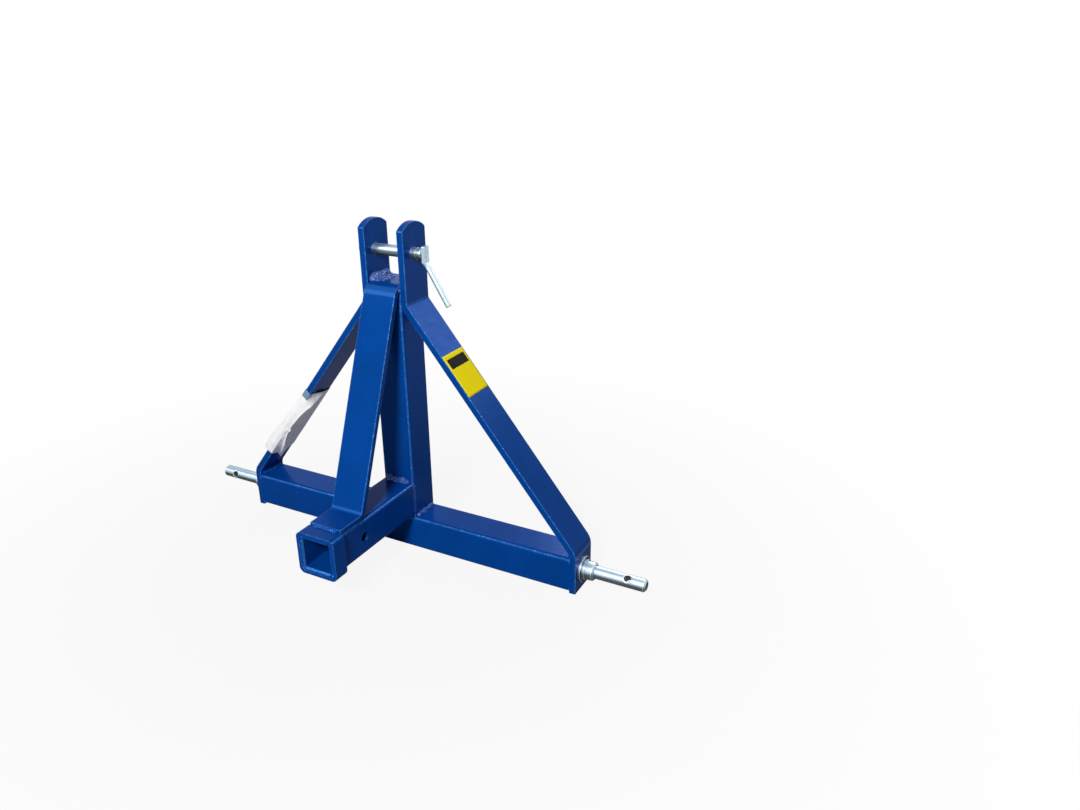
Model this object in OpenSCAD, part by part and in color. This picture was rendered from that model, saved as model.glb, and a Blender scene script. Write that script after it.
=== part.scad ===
// Three-point trailer hitch for a small tractor: a welded frame of square tube and
// flat bar with a square receiver in front, two fixed lower hitch pins and a pull-out
// top link pin. Millimetres, +Z up, +X to the right, and the receiver points along -Y.

/* [Crossbar] */
// Length of the crossbar tube between the two arms
crossbar_len = 676; // [560:2:800]
// Outside width of the square crossbar tube
crossbar_w = 63.5; // [55:0.5:76]
// Wall of the crossbar tube
crossbar_wall = 5; // [4:0.5:7]
// How far the feet of the arms reach below the crossbar
foot_drop = 2; // [1:0.5:10]

/* [Mast] */
// Height from the lower pins' axis to the top link pin's axis
mast_h = 510; // [440:5:600]
// Outside width of the square mast post
post_w = 63.5; // [56:0.5:76]
// Wall of the mast post
post_wall = 5; // [4:0.5:7]
// Outside corner radius of the crossbar, post and receiver tubes
tube_corner_r = 7; // [5:0.5:9]

/* [Arms] */
// Width of the flat bar of the arms, ears and feet
arm_w = 63.5; // [55:0.5:76]
// Thickness of that flat bar
arm_t = 12; // [8:0.5:16]
// Height of the start of the arms' lower bend above the crossbar
arm_bend_rise = 0.5; // [0.5:0.5:20]
// Outside radius of that bend
arm_low_bend_r = 32; // [26:1:60]
// Radius of the sharp bend under the ear, on its visible side
arm_top_bend_r = 6; // [3:0.5:12]
// Height of the ears' bend below the seat between the ears
ear_bend_drop = 33; // [28:1:45]
// Height of the ears' corners above the pin's axis
ear_corner_rise = 38; // [30:1:50]
// Height of the arc on top of each ear
ear_crown = 12; // [6:1:20]

/* [Receiver] */
// Outside width of the square receiver tube
receiver_w = 63.5; // [62:0.5:70]
// Width of the square bore of the receiver
receiver_bore = 51.6; // [50:0.1:54]
// Distance from the post's front face to the receiver's mouth
receiver_reach = 225; // [190:1:280]
// Height of the receiver's underside above the crossbar
receiver_rise = 5.5; // [4:0.5:12]
// Thickness of the reinforcing collar around the mouth
collar_t = 6; // [4:0.5:10]
// Length of the collar
collar_len = 27.5; // [20:0.5:40]
// Chamfer around the receiver's mouth
mouth_chamfer = 2.7; // [1:0.1:4]
// Diameter of the cross hole for the ball mount's pin
hitch_hole_d = 16.5; // [14:0.1:18]
// Distance from the mouth to the cross hole
hitch_hole_back = 84; // [70:1:100]

/* [Brace] */
// Thickness of the bent flat bar that ties the receiver to the mast
brace_t = 10; // [8:0.5:12]
// Length of the brace's foot, behind the collar
brace_foot_len = 54; // [45:1:70]
// How far the brace's front corner stands ahead of the post at the top
brace_top_lead = 8; // [6:0.5:14]
// Inside radius of the bend over the post
brace_top_bend_r = 16; // [10:1:18]
// Radius of the bend above the foot, on its visible side
brace_foot_bend_r = 8; // [4:1:12]
// Gap between the brace's edges and the ears
brace_side_gap = 0.75; // [0.3:0.05:2]
// Height of the top link pin's axis above the seat between the ears
pin_above_seat = 49; // [40:1:60]

/* [Lower hitch pins] */
// Diameter of the lower hitch pins
pin_d = 22.2; // [19:0.1:28.5]
// Distance from the arm's outer face to the pin's tip
pin_reach = 114; // [100:1:150]
// Chamfer on the tips of the pins
pin_chamfer = 3; // [1:0.5:4]
// Diameter of the pin's shoulder
shoulder_d = 32; // [30:0.5:40]
// Length of the pin's shoulder
shoulder_len = 15; // [8:0.5:22]
// Diameter of the pin's threaded shank
shank_d = 20; // [16:0.5:22]
// Diametral clearance of the shank in the foot, washers and nut
shank_clearance = 0.6; // [0.2:0.1:1]
// Diameter of the plain washer
washer_d = 46; // [40:1:54]
// Thickness of the plain washer
washer_t = 3.5; // [2:0.5:5]
// Diameter of the spring washer
lock_washer_d = 35; // [32:0.5:38]
// Thickness of the spring washer
lock_washer_t = 5; // [3:0.5:6]
// Width of the split in the spring washer
lock_washer_split = 2; // [1:0.5:3]
// Width across the flats of the nut inside the crossbar
nut_af = 34; // [30:1:38]
// Thickness of that nut
nut_t = 18; // [12:1:22]
// Diameter of the linch pin's hole near each tip
linch_hole_d = 12; // [8:0.5:13]
// Distance from the tip to that hole
linch_hole_back = 32; // [20:1:40]
// Turn of the left pin's linch hole above level
left_hole_turn = 11; // [0:1:90]
// Turn of the right pin's linch hole above level
right_hole_turn = 58; // [0:1:90]

/* [Top link pin] */
// Diameter of the top link pin
top_pin_d = 19; // [16:0.1:25.4]
// Diametral clearance of the top link pin in the ears
top_pin_clearance = 0.5; // [0.2:0.1:0.9]
// Distance of the pin's axis behind the ears' front edges
top_pin_back = 26; // [22:0.5:34]
// How far the pin reaches past the left ear
top_pin_overhang = 16; // [14:0.5:30]
// How far the pin's end stands outside the right ear
top_pin_end = 20.5; // [14:0.5:40]
// Length of the tapered lead at the pin's far end
top_pin_lead = 3; // [1:0.5:4]
// Diameter of the small cross hole in the pin's far end
top_linch_d = 8; // [5:0.5:9]
// Distance from the far end to that hole
top_linch_back = 8; // [7:0.5:14]
// Width of the turned groove behind the pin's head
head_groove = 2; // [1:0.5:3]
// Length of the pin's head outside the groove
head_len = 9; // [6:0.5:12]
// Depth of the turned groove
groove_depth = 1; // [0.5:0.1:1]
// Radius of the head's rounded edge
head_round = 4; // [1:0.5:5]

/* [Pin handle] */
// Diameter of the handle's rod
rod_d = 9.5; // [8:0.5:12]
// Length of the handle's rod, from the middle of the eye's lower edge
rod_len = 79; // [50:1:110]
// Lean of the rod away from the ear
rod_lean = 31; // [15:1:45]
// Chamfer on the rod's end
rod_chamfer = 1; // [0.5:0.1:2]
// Width of the flattened eye
eye_w = 13; // [12:0.5:18]
// Height of the flattened eye
eye_h = 27; // [22:0.5:34]
// Thickness of the flattened eye
eye_t = 5.5; // [4.5:0.5:8]
// Corner radius on top of the eye
eye_corner_r = 2; // [1:0.5:5]
// Length of the neck between the eye and the rod
neck_len = 7; // [6:0.5:14]
// Angle at which the neck's outer face spreads from the rod
neck_spread = 20; // [14:1:30]
// Diameter of the rivet that the handle turns on
rivet_d = 6; // [4:0.5:7]
// Diameter of the rivet's countersunk head
rivet_head_d = 9; // [8:0.5:10]
// Length of the rivet inside the pin
rivet_grip = 14; // [10:1:20]
// Radial clearance of the handle on its rivet
rivet_clearance = 0.08; // [0.02:0.01:0.1]
// End play of the handle between the pin and the rivet's head
handle_play = 0.3; // [0.2:0.05:0.6]

/* [Welds] */
// Leg of the fillet welds at the joints of the tubes
weld_leg = 6; // [4:0.5:8]
// Leg of the heavier fillets at the seat and on top of the receiver
heavy_weld_leg = 8; // [6:0.5:9]
// Width of the seam welds on flush faces
seam_w = 8; // [5:0.5:12]
// Height of the seam welds
seam_h = 1.8; // [1:0.1:3]

/* [Transit sleeve] */
// Distance from the ear's bend, along the arm, to the top of the sleeve
sleeve_start = 232; // [180:1:260]
// Length of the sleeve along the arm
sleeve_len = 190; // [100:1:200]
// Thickness of the sleeve's sheet
sleeve_t = 1; // [0.6:0.1:2]
// Gap between the sleeve and the arm
sleeve_gap = 0.3; // [0.2:0.1:1]

/* [Hidden] */

paint = [0.02, 0.26, 0.54];
weld_paint = [0.04, 0.30, 0.58];
zinc = [0.72, 0.74, 0.75];
film = [0.93, 0.93, 0.95];
// Small overlaps: of cutting tools, and of a neck with its eye
eps = 0.01;
lap = 0.02;
// Steps around a full circle, and along one bend of a flat bar
smooth = 96;
bend_steps = 16;
// Gap between the top of the post and the bend of the brace
post_gap = 0.3;
// Least inside corner radius of a tube
least_corner_r = 1;
// Centre of a fillet's round face behind its corner, per leg
fillet_back = 0.7;
// Turn of the spring washers' split around the pin, and its slant
split_turn = -60;
split_slant = 25;

// Heights
crossbar_z = foot_drop;
crossbar_top = crossbar_z + crossbar_w;
axle_z = crossbar_z + crossbar_w / 2;
top_pin_z = axle_z + mast_h;
seat_z = top_pin_z - pin_above_seat;
ear_bend_z = seat_z - ear_bend_drop;
ear_corner_z = top_pin_z + ear_corner_rise;
ear_top_z = ear_corner_z + ear_crown;
receiver_z = crossbar_top + receiver_rise;
receiver_axis_z = receiver_z + receiver_w / 2;
receiver_top = receiver_z + receiver_w;

// Widths
foot_in_x = crossbar_len / 2;
foot_out_x = foot_in_x + arm_t;
ear_in_x = post_w / 2;
ear_out_x = ear_in_x + arm_t;
collar_w = receiver_w + 2 * collar_t;

// Depths, counted from the front face of the crossbar, post and arms
frame_back = max(crossbar_w + seam_h, post_w, arm_w);
axle_y = crossbar_w / 2;
depth_mid = (frame_back - receiver_reach) / 2;
collar_back_y = collar_len - receiver_reach;

// Lean of the arms: the slope's outer face runs from the ear's lower corner, tangent to
// the circle of the bend above the foot
low_bend = [foot_out_x - arm_low_bend_r, crossbar_top + arm_bend_rise];
arm_reach = [low_bend[0] - ear_out_x, ear_bend_z - low_bend[1]];
arm_lean = atan(arm_reach[0] / arm_reach[1]) + asin(arm_low_bend_r / norm(arm_reach));
top_bend = [ear_out_x + arm_top_bend_r, ear_bend_z + arm_top_bend_r * tan(arm_lean / 2)];
crown_r = (pow(arm_w / 2, 2) + pow(ear_crown, 2)) / (2 * ear_crown);

// Brace outline in the Y-Z plane, through the visible corners of its front face
brace_w = post_w - 2 * brace_side_gap;
brace_foot_top = receiver_top + brace_t;
brace_foot_y = collar_back_y + brace_foot_len;
brace_rise = seat_z - brace_foot_top;
brace_run = -brace_top_lead - brace_foot_y;
brace_angle = atan(brace_rise / brace_run);
brace_half = brace_angle / 2;
brace_under_z = seat_z - brace_t;
foot_bend = [brace_foot_y - brace_foot_bend_r * tan(brace_half), brace_foot_top + brace_foot_bend_r];
seat_bend = [(brace_top_bend_r + brace_t) * tan(brace_half) - brace_top_lead,
    brace_under_z - brace_top_bend_r];
post_top = seat_bend[1] + sqrt(pow(brace_top_bend_r, 2) - pow(seat_bend[0], 2)) - post_gap;

// Lower pin stack, counted outwards from the arm's outer face
lock_x = foot_out_x + washer_t;
shoulder_x = lock_x + lock_washer_t;
pin_tip_x = foot_out_x + pin_reach;

// Top link pin, along X
top_pin_left = -ear_out_x - top_pin_overhang;
top_pin_right = ear_out_x + top_pin_end;
eye_x = top_pin_right + handle_play;
rivet_sink = (rivet_head_d - rivet_d) / 2;

// Places everything so that the origin lies under the middle of the whole hitch
module seated() {
    translate([0, -depth_mid, 0]) children();
}

// Square with rounded corners, centred
module round_square(w, r) {
    difference() {
        square(w, center = true);
        for (a = [0:90:270]) rotate(a) translate([w / 2 - r, w / 2 - r]) difference() {
            square(r + eps);
            circle(r, $fn = smooth);
        }
    }
}

// Cross-section of a square tube
module tube_section(w, wall) {
    difference() {
        round_square(w, tube_corner_r);
        round_square(w - 2 * wall, max(tube_corner_r - wall, least_corner_r));
    }
}

// Draws a profile given in X-Z, from y = 0 backwards over a depth
module along_y(depth) {
    translate([0, depth, 0]) rotate([90, 0, 0]) linear_extrude(depth) children();
}

// Draws a profile given in Y-Z, from x = 0 to the right over a width
module along_x(width) {
    rotate([90, 0, 90]) linear_extrude(width) children();
}

// Right-angled fillet in its own corner, with a slightly bulging face
module fillet_section(leg) {
    back = [-fillet_back, -fillet_back] * leg;
    turn = atan(fillet_back / (1 + fillet_back));
    polygon(concat([[0, 0]], arc(back, leg * norm([1 + fillet_back, fillet_back]), turn, 90 - turn)));
}

// Weld that fills the groove between a flat face and the round corner of a tube
module flare_section(r) {
    difference() {
        square(r);
        circle(r, $fn = smooth);
    }
}

// Low convex bead on a flat face
module bead_section(w, h) {
    bead_r = (pow(w / 2, 2) + h * h) / (2 * h);
    intersection() {
        translate([0, h - bead_r]) circle(bead_r, $fn = smooth);
        translate([-w / 2, 0]) square([w, h]);
    }
}

// Points of an arc about a centre, from angle a0 to a1
function arc(centre, r, a0, a1) = [for (i = [0:bend_steps])
    let (a = a0 + (a1 - a0) * i / bend_steps) centre + r * [cos(a), sin(a)]];

// Outline of one arm in the X-Z plane: foot, bend, slope, bend and ear
module arm_outline() {
    polygon(concat(
        [[foot_out_x, 0]],
        arc(low_bend, arm_low_bend_r, 0, arm_lean),
        arc(top_bend, arm_top_bend_r, 180 + arm_lean, 180),
        [[ear_out_x, ear_top_z], [ear_in_x, ear_top_z]],
        arc(top_bend, arm_top_bend_r + arm_t, 180, 180 + arm_lean),
        arc(low_bend, arm_low_bend_r - arm_t, arm_lean, 0),
        [[foot_in_x, 0]]));
}

// One arm on the right side, with its ear, foot and holes
module arm_shape() {
    difference() {
        along_y(arm_w) arm_outline();
        along_x(ear_out_x + 1) difference() {
            translate([-1, ear_corner_z - ear_crown]) square([arm_w + 2, 2 * ear_crown + 1]);
            translate([arm_w / 2, ear_top_z - crown_r]) circle(crown_r, $fn = smooth);
        }
        translate([ear_in_x - 1, top_pin_back, top_pin_z]) rotate([0, 90, 0])
            cylinder(d = top_pin_d + top_pin_clearance, h = arm_t + 2, $fn = smooth);
        translate([foot_in_x - 1, axle_y, axle_z]) rotate([0, 90, 0])
            cylinder(d = shank_d + shank_clearance, h = arm_t + 2, $fn = smooth);
    }
}

module crossbar() {
    color(paint) seated() translate([-crossbar_len / 2, crossbar_w / 2, axle_z])
        along_x(crossbar_len) tube_section(crossbar_w, crossbar_wall);
}

module mast_post() {
    color(paint) seated() translate([0, post_w / 2, crossbar_top])
        linear_extrude(post_top - crossbar_top) tube_section(post_w, post_wall);
}

module left_arm() {
    color(paint) seated() mirror([1, 0, 0]) arm_shape();
}

module right_arm() {
    color(paint) seated() arm_shape();
}

module receiver_tube() {
    color(paint) seated() translate([0, -receiver_reach, receiver_axis_z]) difference() {
        along_y(receiver_reach) difference() {
            round_square(receiver_w, tube_corner_r);
            square(receiver_bore, center = true);
        }
        mouth();
        translate([-receiver_w / 2 - 1, hitch_hole_back, 0]) rotate([0, 90, 0])
            cylinder(d = hitch_hole_d, h = receiver_w + 2, $fn = smooth);
    }
}

// Chamfered mouth of the receiver, as four sloping cuts
module mouth() {
    for (a = [0:90:270]) rotate([0, a, 0]) translate([-receiver_w / 2, 0, receiver_bore / 2])
        along_x(receiver_w) polygon([[-eps, -1], [mouth_chamfer, -1], [mouth_chamfer, 0],
            [0, mouth_chamfer], [-eps, mouth_chamfer]]);
}

module receiver_collar() {
    color(paint) seated() translate([0, -receiver_reach, receiver_axis_z])
        along_y(collar_len) difference() {
            round_square(collar_w, tube_corner_r + collar_t / 2);
            round_square(receiver_w, tube_corner_r);
        }
}

// Outline of the brace in the Y-Z plane: foot, bend, slope, bend and seat
module brace_outline() {
    polygon(concat(
        [[collar_back_y, receiver_top], [collar_back_y, brace_foot_top]],
        arc(foot_bend, brace_foot_bend_r, 270, 270 + brace_angle),
        arc(seat_bend, brace_top_bend_r + brace_t, 90 + brace_angle, 90),
        [[post_w, seat_z], [post_w, brace_under_z]],
        arc(seat_bend, brace_top_bend_r, 90, 90 + brace_angle),
        arc(foot_bend, brace_foot_bend_r + brace_t, 270 + brace_angle, 270)));
}

module brace_bar() {
    color(paint) seated() translate([-brace_w / 2, 0, 0]) along_x(brace_w) brace_outline();
}

// Lower hitch pin on the right side, drawn outwards along X
module lower_pin(hole_turn) {
    color(zinc) difference() {
        union() {
            translate([foot_in_x - nut_t, 0, 0]) rotate([0, 90, 0])
                cylinder(d = shank_d, h = shoulder_x - foot_in_x + nut_t, $fn = smooth);
            translate([shoulder_x, 0, 0]) rotate([0, 90, 0]) rotate_extrude($fn = smooth)
                polygon([[0, 0], [shoulder_d / 2, 0], [shoulder_d / 2, shoulder_len - pin_chamfer],
                    [shoulder_d / 2 - pin_chamfer, shoulder_len], [pin_d / 2, shoulder_len],
                    [pin_d / 2, pin_tip_x - shoulder_x - pin_chamfer],
                    [pin_d / 2 - pin_chamfer, pin_tip_x - shoulder_x], [0, pin_tip_x - shoulder_x]]);
        }
        translate([pin_tip_x - linch_hole_back, 0, 0]) rotate([90 - hole_turn, 0, 0])
            cylinder(d = linch_hole_d, h = pin_d + 2, center = true, $fn = smooth);
    }
}

module plain_washer() {
    color(zinc) translate([foot_out_x, 0, 0]) rotate([0, 90, 0]) difference() {
        cylinder(d = washer_d, h = washer_t, $fn = smooth);
        translate([0, 0, -1]) cylinder(d = shank_d + shank_clearance, h = washer_t + 2, $fn = smooth);
    }
}

module spring_washer() {
    color(zinc) translate([lock_x, 0, 0]) rotate([0, 90, 0]) difference() {
        cylinder(d = lock_washer_d, h = lock_washer_t, $fn = smooth);
        translate([0, 0, -1])
            cylinder(d = shank_d + shank_clearance, h = lock_washer_t + 2, $fn = smooth);
        translate([0, 0, lock_washer_t / 2]) rotate([0, 0, split_turn]) rotate([split_slant, 0, 0])
            translate([0, -lock_washer_split / 2, -lock_washer_t])
                cube([lock_washer_d, lock_washer_split, 2 * lock_washer_t]);
    }
}

module weld_nut() {
    color(zinc) translate([foot_in_x - nut_t, 0, 0]) rotate([0, 90, 0]) difference() {
        cylinder(d = nut_af / cos(30), h = nut_t, $fn = 6);
        translate([0, 0, -1]) cylinder(d = shank_d + shank_clearance, h = nut_t + 2, $fn = smooth);
    }
}

// Puts a piece of the right pin's stack on its axis
module on_axle() {
    seated() translate([0, axle_y, axle_z]) children();
}

module lower_pin_left() {
    on_axle() mirror([1, 0, 0]) lower_pin(left_hole_turn);
}

module lower_pin_right() {
    on_axle() lower_pin(right_hole_turn);
}

module pin_washer_left() {
    on_axle() mirror([1, 0, 0]) plain_washer();
}

module pin_washer_right() {
    on_axle() plain_washer();
}

module lock_washer_left() {
    on_axle() mirror([1, 0, 0]) spring_washer();
}

module lock_washer_right() {
    on_axle() spring_washer();
}

module pin_nut_left() {
    on_axle() mirror([1, 0, 0]) weld_nut();
}

module pin_nut_right() {
    on_axle() weld_nut();
}

// Puts a piece on the top link pin's axis
module on_top_pin() {
    seated() translate([0, top_pin_back, top_pin_z]) children();
}

module top_link_pin() {
    pin_r = top_pin_d / 2;
    neck_z = top_pin_right - top_pin_left - head_len;
    end_z = top_pin_right - top_pin_left;
    color(zinc) on_top_pin() difference() {
        translate([top_pin_left, 0, 0]) rotate([0, 90, 0]) rotate_extrude($fn = smooth)
            polygon(concat(
                [[0, 0], [pin_r - top_pin_lead, 0], [pin_r, top_pin_lead],
                    [pin_r, neck_z - head_groove], [pin_r - groove_depth, neck_z - head_groove],
                    [pin_r - groove_depth, neck_z], [pin_r, neck_z]],
                arc([pin_r - head_round, end_z - head_round], head_round, 0, 90),
                [[0, end_z]]));
        translate([top_pin_left + top_linch_back, 0, 0])
            cylinder(d = top_linch_d, h = top_pin_d + 2, center = true, $fn = smooth);
        translate([top_pin_right - rivet_grip, 0, 0]) rotate([0, 90, 0])
            cylinder(d = rivet_d, h = rivet_grip + 1, $fn = smooth);
    }
}

module handle_rivet() {
    length = rivet_grip + handle_play + eye_t;
    color(zinc) on_top_pin() translate([top_pin_right - rivet_grip, 0, 0]) rotate([0, 90, 0])
        rotate_extrude($fn = smooth)
            polygon([[0, 0], [rivet_d / 2, 0], [rivet_d / 2, length - rivet_sink],
                [rivet_head_d / 2, length], [0, length]]);
}

// Handle: a rod flattened into a pierced eye, hanging from the rivet. Its neck is a cone
// around the rod's axis, cut off by the eye's inner plane and by a spreading outer one.
module pin_handle() {
    bore_r = rivet_d / 2 + rivet_clearance;
    sink = rivet_sink + handle_play;
    rod_r = rod_d / 2;
    cone_r = rod_r + (eye_w / 2 - rod_r) * 2;
    foot_z = -eye_h / 2;
    far = rod_len * 1.5;
    color(zinc) on_top_pin() translate([eye_x, 0, 0]) difference() {
        union() {
            along_x(eye_t) eye_outline();
            intersection() {
                translate([eye_t / 2, 0, foot_z]) rotate([0, 180 - rod_lean, 0])
                    rotate_extrude($fn = smooth) polygon([[0, -neck_len], [cone_r, -neck_len],
                        [rod_r, neck_len], [rod_r, rod_len - rod_chamfer],
                        [rod_r - rod_chamfer, rod_len], [0, rod_len]]);
                translate([0, -eye_w / 2, 0]) along_y(eye_w) polygon([[0, foot_z + lap],
                    [eye_t, foot_z + lap],
                    [eye_t + far * sin(rod_lean + neck_spread), foot_z - far * cos(rod_lean + neck_spread)],
                    [0, foot_z - far]]);
            }
        }
        translate([-1, 0, 0]) rotate([0, 90, 0]) cylinder(r = bore_r, h = eye_t + 2, $fn = smooth);
        translate([eye_t - sink, 0, 0]) rotate([0, 90, 0])
            cylinder(r1 = bore_r, r2 = bore_r + sink + 1, h = sink + 1, $fn = smooth);
    }
}

// Outline of the handle's eye in the Y-Z plane, with round upper corners
module eye_outline() {
    difference() {
        translate([-eye_w / 2, -eye_h / 2]) square([eye_w, eye_h]);
        for (side = [-1, 1]) translate([side * (eye_w / 2 - eye_corner_r), eye_h / 2 - eye_corner_r])
            scale([side, 1]) difference() {
                square(eye_corner_r + eps);
                circle(eye_corner_r, $fn = smooth);
            }
    }
}

module crossbar_end_welds() {
    flat_len = crossbar_w - 2 * tube_corner_r;
    color(weld_paint) seated() for (side = [0, 1]) mirror([side, 0, 0]) difference() {
        union() {
            translate([foot_in_x, tube_corner_r, crossbar_top]) mirror([1, 0, 0])
                along_y(flat_len) fillet_section(weld_leg);
            translate([foot_in_x, 0, crossbar_z + tube_corner_r]) linear_extrude(flat_len)
                mirror([0, 1]) bead_section(seam_w, seam_h);
            translate([foot_in_x, crossbar_w, crossbar_z + tube_corner_r]) linear_extrude(flat_len)
                bead_section(seam_w, seam_h);
        }
        along_y(arm_w) arm_outline();
    }
}

module post_base_welds() {
    flat_len = post_w - 2 * tube_corner_r;
    color(weld_paint) seated() for (side = [0, 1]) mirror([side, 0, 0])
        translate([post_w / 2, tube_corner_r, crossbar_top])
            along_y(flat_len) fillet_section(weld_leg);
    color(weld_paint) seated() for (back = [0, 1])
        translate([-post_w / 2 + tube_corner_r, back * crossbar_w, 0]) mirror([0, back, 0])
            translate([0, tube_corner_r, crossbar_top - tube_corner_r]) along_x(flat_len)
                mirror([1, 0]) flare_section(tube_corner_r);
}

module receiver_welds() {
    flat_len = receiver_w - 2 * tube_corner_r;
    color(weld_paint) seated() {
        translate([-flat_len / 2, 0, receiver_top]) along_x(flat_len) mirror([1, 0])
            fillet_section(heavy_weld_leg);
        translate([-flat_len / 2, 0, receiver_z]) along_x(flat_len) mirror([1, 0]) mirror([0, 1])
            fillet_section(weld_leg);
        for (side = [0, 1]) mirror([side, 0, 0])
            translate([post_w / 2 - tube_corner_r, tube_corner_r, receiver_z + tube_corner_r])
                linear_extrude(flat_len) mirror([0, 1]) flare_section(tube_corner_r);
    }
}

module brace_foot_welds() {
    flat_len = receiver_w - 2 * tube_corner_r;
    side_len = brace_foot_len - brace_foot_bend_r;
    collar_top = receiver_axis_z + collar_w / 2;
    color(weld_paint) seated() {
        translate([-flat_len / 2, collar_back_y, collar_top]) along_x(flat_len) mirror([1, 0])
            fillet_section(brace_foot_top - collar_top);
        for (side = [0, 1]) mirror([side, 0, 0])
            translate([receiver_w / 2 - tube_corner_r, collar_back_y, receiver_top - tube_corner_r])
                along_y(side_len) intersection() {
                    flare_section(tube_corner_r);
                    square([brace_w / 2 - receiver_w / 2 + tube_corner_r, tube_corner_r]);
                }
    }
}

module brace_top_welds() {
    start = seat_bend[0];
    color(weld_paint) seated() {
        for (side = [0, 1]) mirror([side, 0, 0]) {
            translate([ear_in_x, start, seat_z]) mirror([1, 0, 0])
                along_y(arm_w - start - weld_leg) fillet_section(heavy_weld_leg);
            translate([brace_w / 2, 0, ear_bend_z + weld_leg]) mirror([0, 1, 0])
                linear_extrude(seat_z - ear_bend_z - 2 * weld_leg) fillet_section(weld_leg);
        }
        translate([-brace_w / 2 + tube_corner_r, post_w - post_wall, post_top])
            cube([brace_w - 2 * tube_corner_r, post_wall, brace_under_z - post_top]);
    }
}

module ear_welds() {
    foot_z = ear_bend_z + arm_top_bend_r;
    color(weld_paint) seated() for (side = [0, 1], back = [0, 1]) mirror([side, 0, 0])
        translate([0, back * post_w, 0]) mirror([0, back, 0])
            translate([post_w / 2 - tube_corner_r, tube_corner_r, foot_z])
                linear_extrude(post_top - foot_z) mirror([0, 1]) flare_section(tube_corner_r);
}

// White sheet wrapped around the lower half of the left arm
module arm_sleeve() {
    inner_w = arm_w + 2 * sleeve_gap;
    inner_t = arm_t + 2 * sleeve_gap;
    color(film) seated() mirror([1, 0, 0]) translate([ear_out_x, 0, ear_bend_z])
        rotate([0, -arm_lean, 0]) translate([-arm_t / 2, arm_w / 2, -sleeve_start - sleeve_len])
            linear_extrude(sleeve_len) difference() {
                square([inner_t + 2 * sleeve_t, inner_w + 2 * sleeve_t], center = true);
                square([inner_t, inner_w], center = true);
            }
}

crossbar();
mast_post();
left_arm();
right_arm();
receiver_tube();
receiver_collar();
brace_bar();
lower_pin_left();
lower_pin_right();
pin_washer_left();
pin_washer_right();
lock_washer_left();
lock_washer_right();
pin_nut_left();
pin_nut_right();
top_link_pin();
pin_handle();
handle_rivet();
crossbar_end_welds();
post_base_welds();
receiver_welds();
brace_foot_welds();
brace_top_welds();
ear_welds();
arm_sleeve();
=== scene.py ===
"""Finish of a three-point trailer hitch: blue enamel, zinc plating, weld beads and a film sleeve."""

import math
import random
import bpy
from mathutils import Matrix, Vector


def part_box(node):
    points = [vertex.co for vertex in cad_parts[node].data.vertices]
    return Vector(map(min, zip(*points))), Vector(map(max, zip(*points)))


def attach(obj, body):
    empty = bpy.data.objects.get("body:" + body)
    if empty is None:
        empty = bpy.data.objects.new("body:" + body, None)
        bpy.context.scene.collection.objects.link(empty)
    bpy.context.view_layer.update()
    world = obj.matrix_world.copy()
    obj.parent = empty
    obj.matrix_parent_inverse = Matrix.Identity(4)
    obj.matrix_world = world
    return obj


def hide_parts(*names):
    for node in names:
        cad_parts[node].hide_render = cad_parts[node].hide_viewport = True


bl_info = {
    "name": "Three-point hitch finish",
    "version": (1, 0, 0),
    "blender": (4, 5, 0),
    "location": "3D View > Sidebar > Hitch",
    "description": "Dresses the packed hitch frame with paint, plating, weld beads, patches and a sleeve",
    "category": "Object",
}

import bmesh
import bpy
from bpy.props import FloatProperty, FloatVectorProperty, IntProperty, PointerProperty
from mathutils import Matrix, Vector, noise

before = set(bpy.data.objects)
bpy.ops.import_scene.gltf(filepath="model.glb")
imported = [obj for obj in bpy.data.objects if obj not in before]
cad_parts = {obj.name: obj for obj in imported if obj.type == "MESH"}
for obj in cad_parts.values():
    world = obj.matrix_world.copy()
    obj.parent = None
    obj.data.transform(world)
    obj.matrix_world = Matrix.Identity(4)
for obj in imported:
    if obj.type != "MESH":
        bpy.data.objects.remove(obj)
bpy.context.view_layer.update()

MM = 0.001
X, Y, Z = Vector((1, 0, 0)), Vector((0, 1, 0)), Vector((0, 0, 1))

# Two vertices closer than this are one, in metres
MERGE = 0.002 * MM
# Faces that turn less than this are one flat face
FLAT_TURN = math.radians(0.2)
# Edges that turn more than this are sharp
SHARP_TURN = math.radians(30)
# Length of the faces along a turned piece
CUT_STEP = 3 * MM
# Faces of a flat bar's bends are smaller than this, in square metres
BEND_FACE = 5e-4
# Largest part of their normals along the bar's width
BEND_LEAN = 0.02
# Turn from a flat face beyond which a rolled corner counts as its middle
CORNER_TURN = math.radians(36)
# Smallest part of the normal below which a face runs along one of the axes
CORNER_LEAN = math.sin(FLAT_TURN) * 3


# Settings


class HitchPaint(bpy.types.PropertyGroup):
    """Blue enamel on the welded frame."""

    colour: FloatVectorProperty(
        name="Paint", description="Colour of the enamel", subtype="COLOR", size=3, min=0, max=1,
        default=(0.0005, 0.050, 0.27))
    # Colour of thin paint on worn edges, also the painted highlight on rolled corners and bends
    thin_and_lit_colour: FloatVectorProperty(
        name="Thin paint", description="Colour where the enamel runs thin over an edge or a weld",
        subtype="COLOR", size=3, min=0, max=1, default=(0.045, 0.19, 0.52))
    # Dull paint on weld metal; its lilac grey is partly a painted reflection of the sky on the rough beads
    weld_paint_and_sky_sheen: FloatVectorProperty(
        name="Dull paint", description="Colour where the enamel lies dull on rough weld metal",
        subtype="COLOR", size=3, min=0, max=1, default=(0.13, 0.17, 0.34))
    roughness: FloatProperty(
        name="Roughness", description="Roughness of the enamel", default=0.22, min=0.05, max=0.9)
    peel_size: FloatProperty(
        name="Orange peel", description="Size of one ripple of the sprayed surface", unit="LENGTH",
        default=2.2 * MM, min=0.5 * MM, max=0.01)
    peel_depth: FloatProperty(
        name="Peel depth", description="Depth of those ripples", unit="LENGTH",
        default=0.012 * MM, min=0, max=0.1 * MM)


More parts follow.
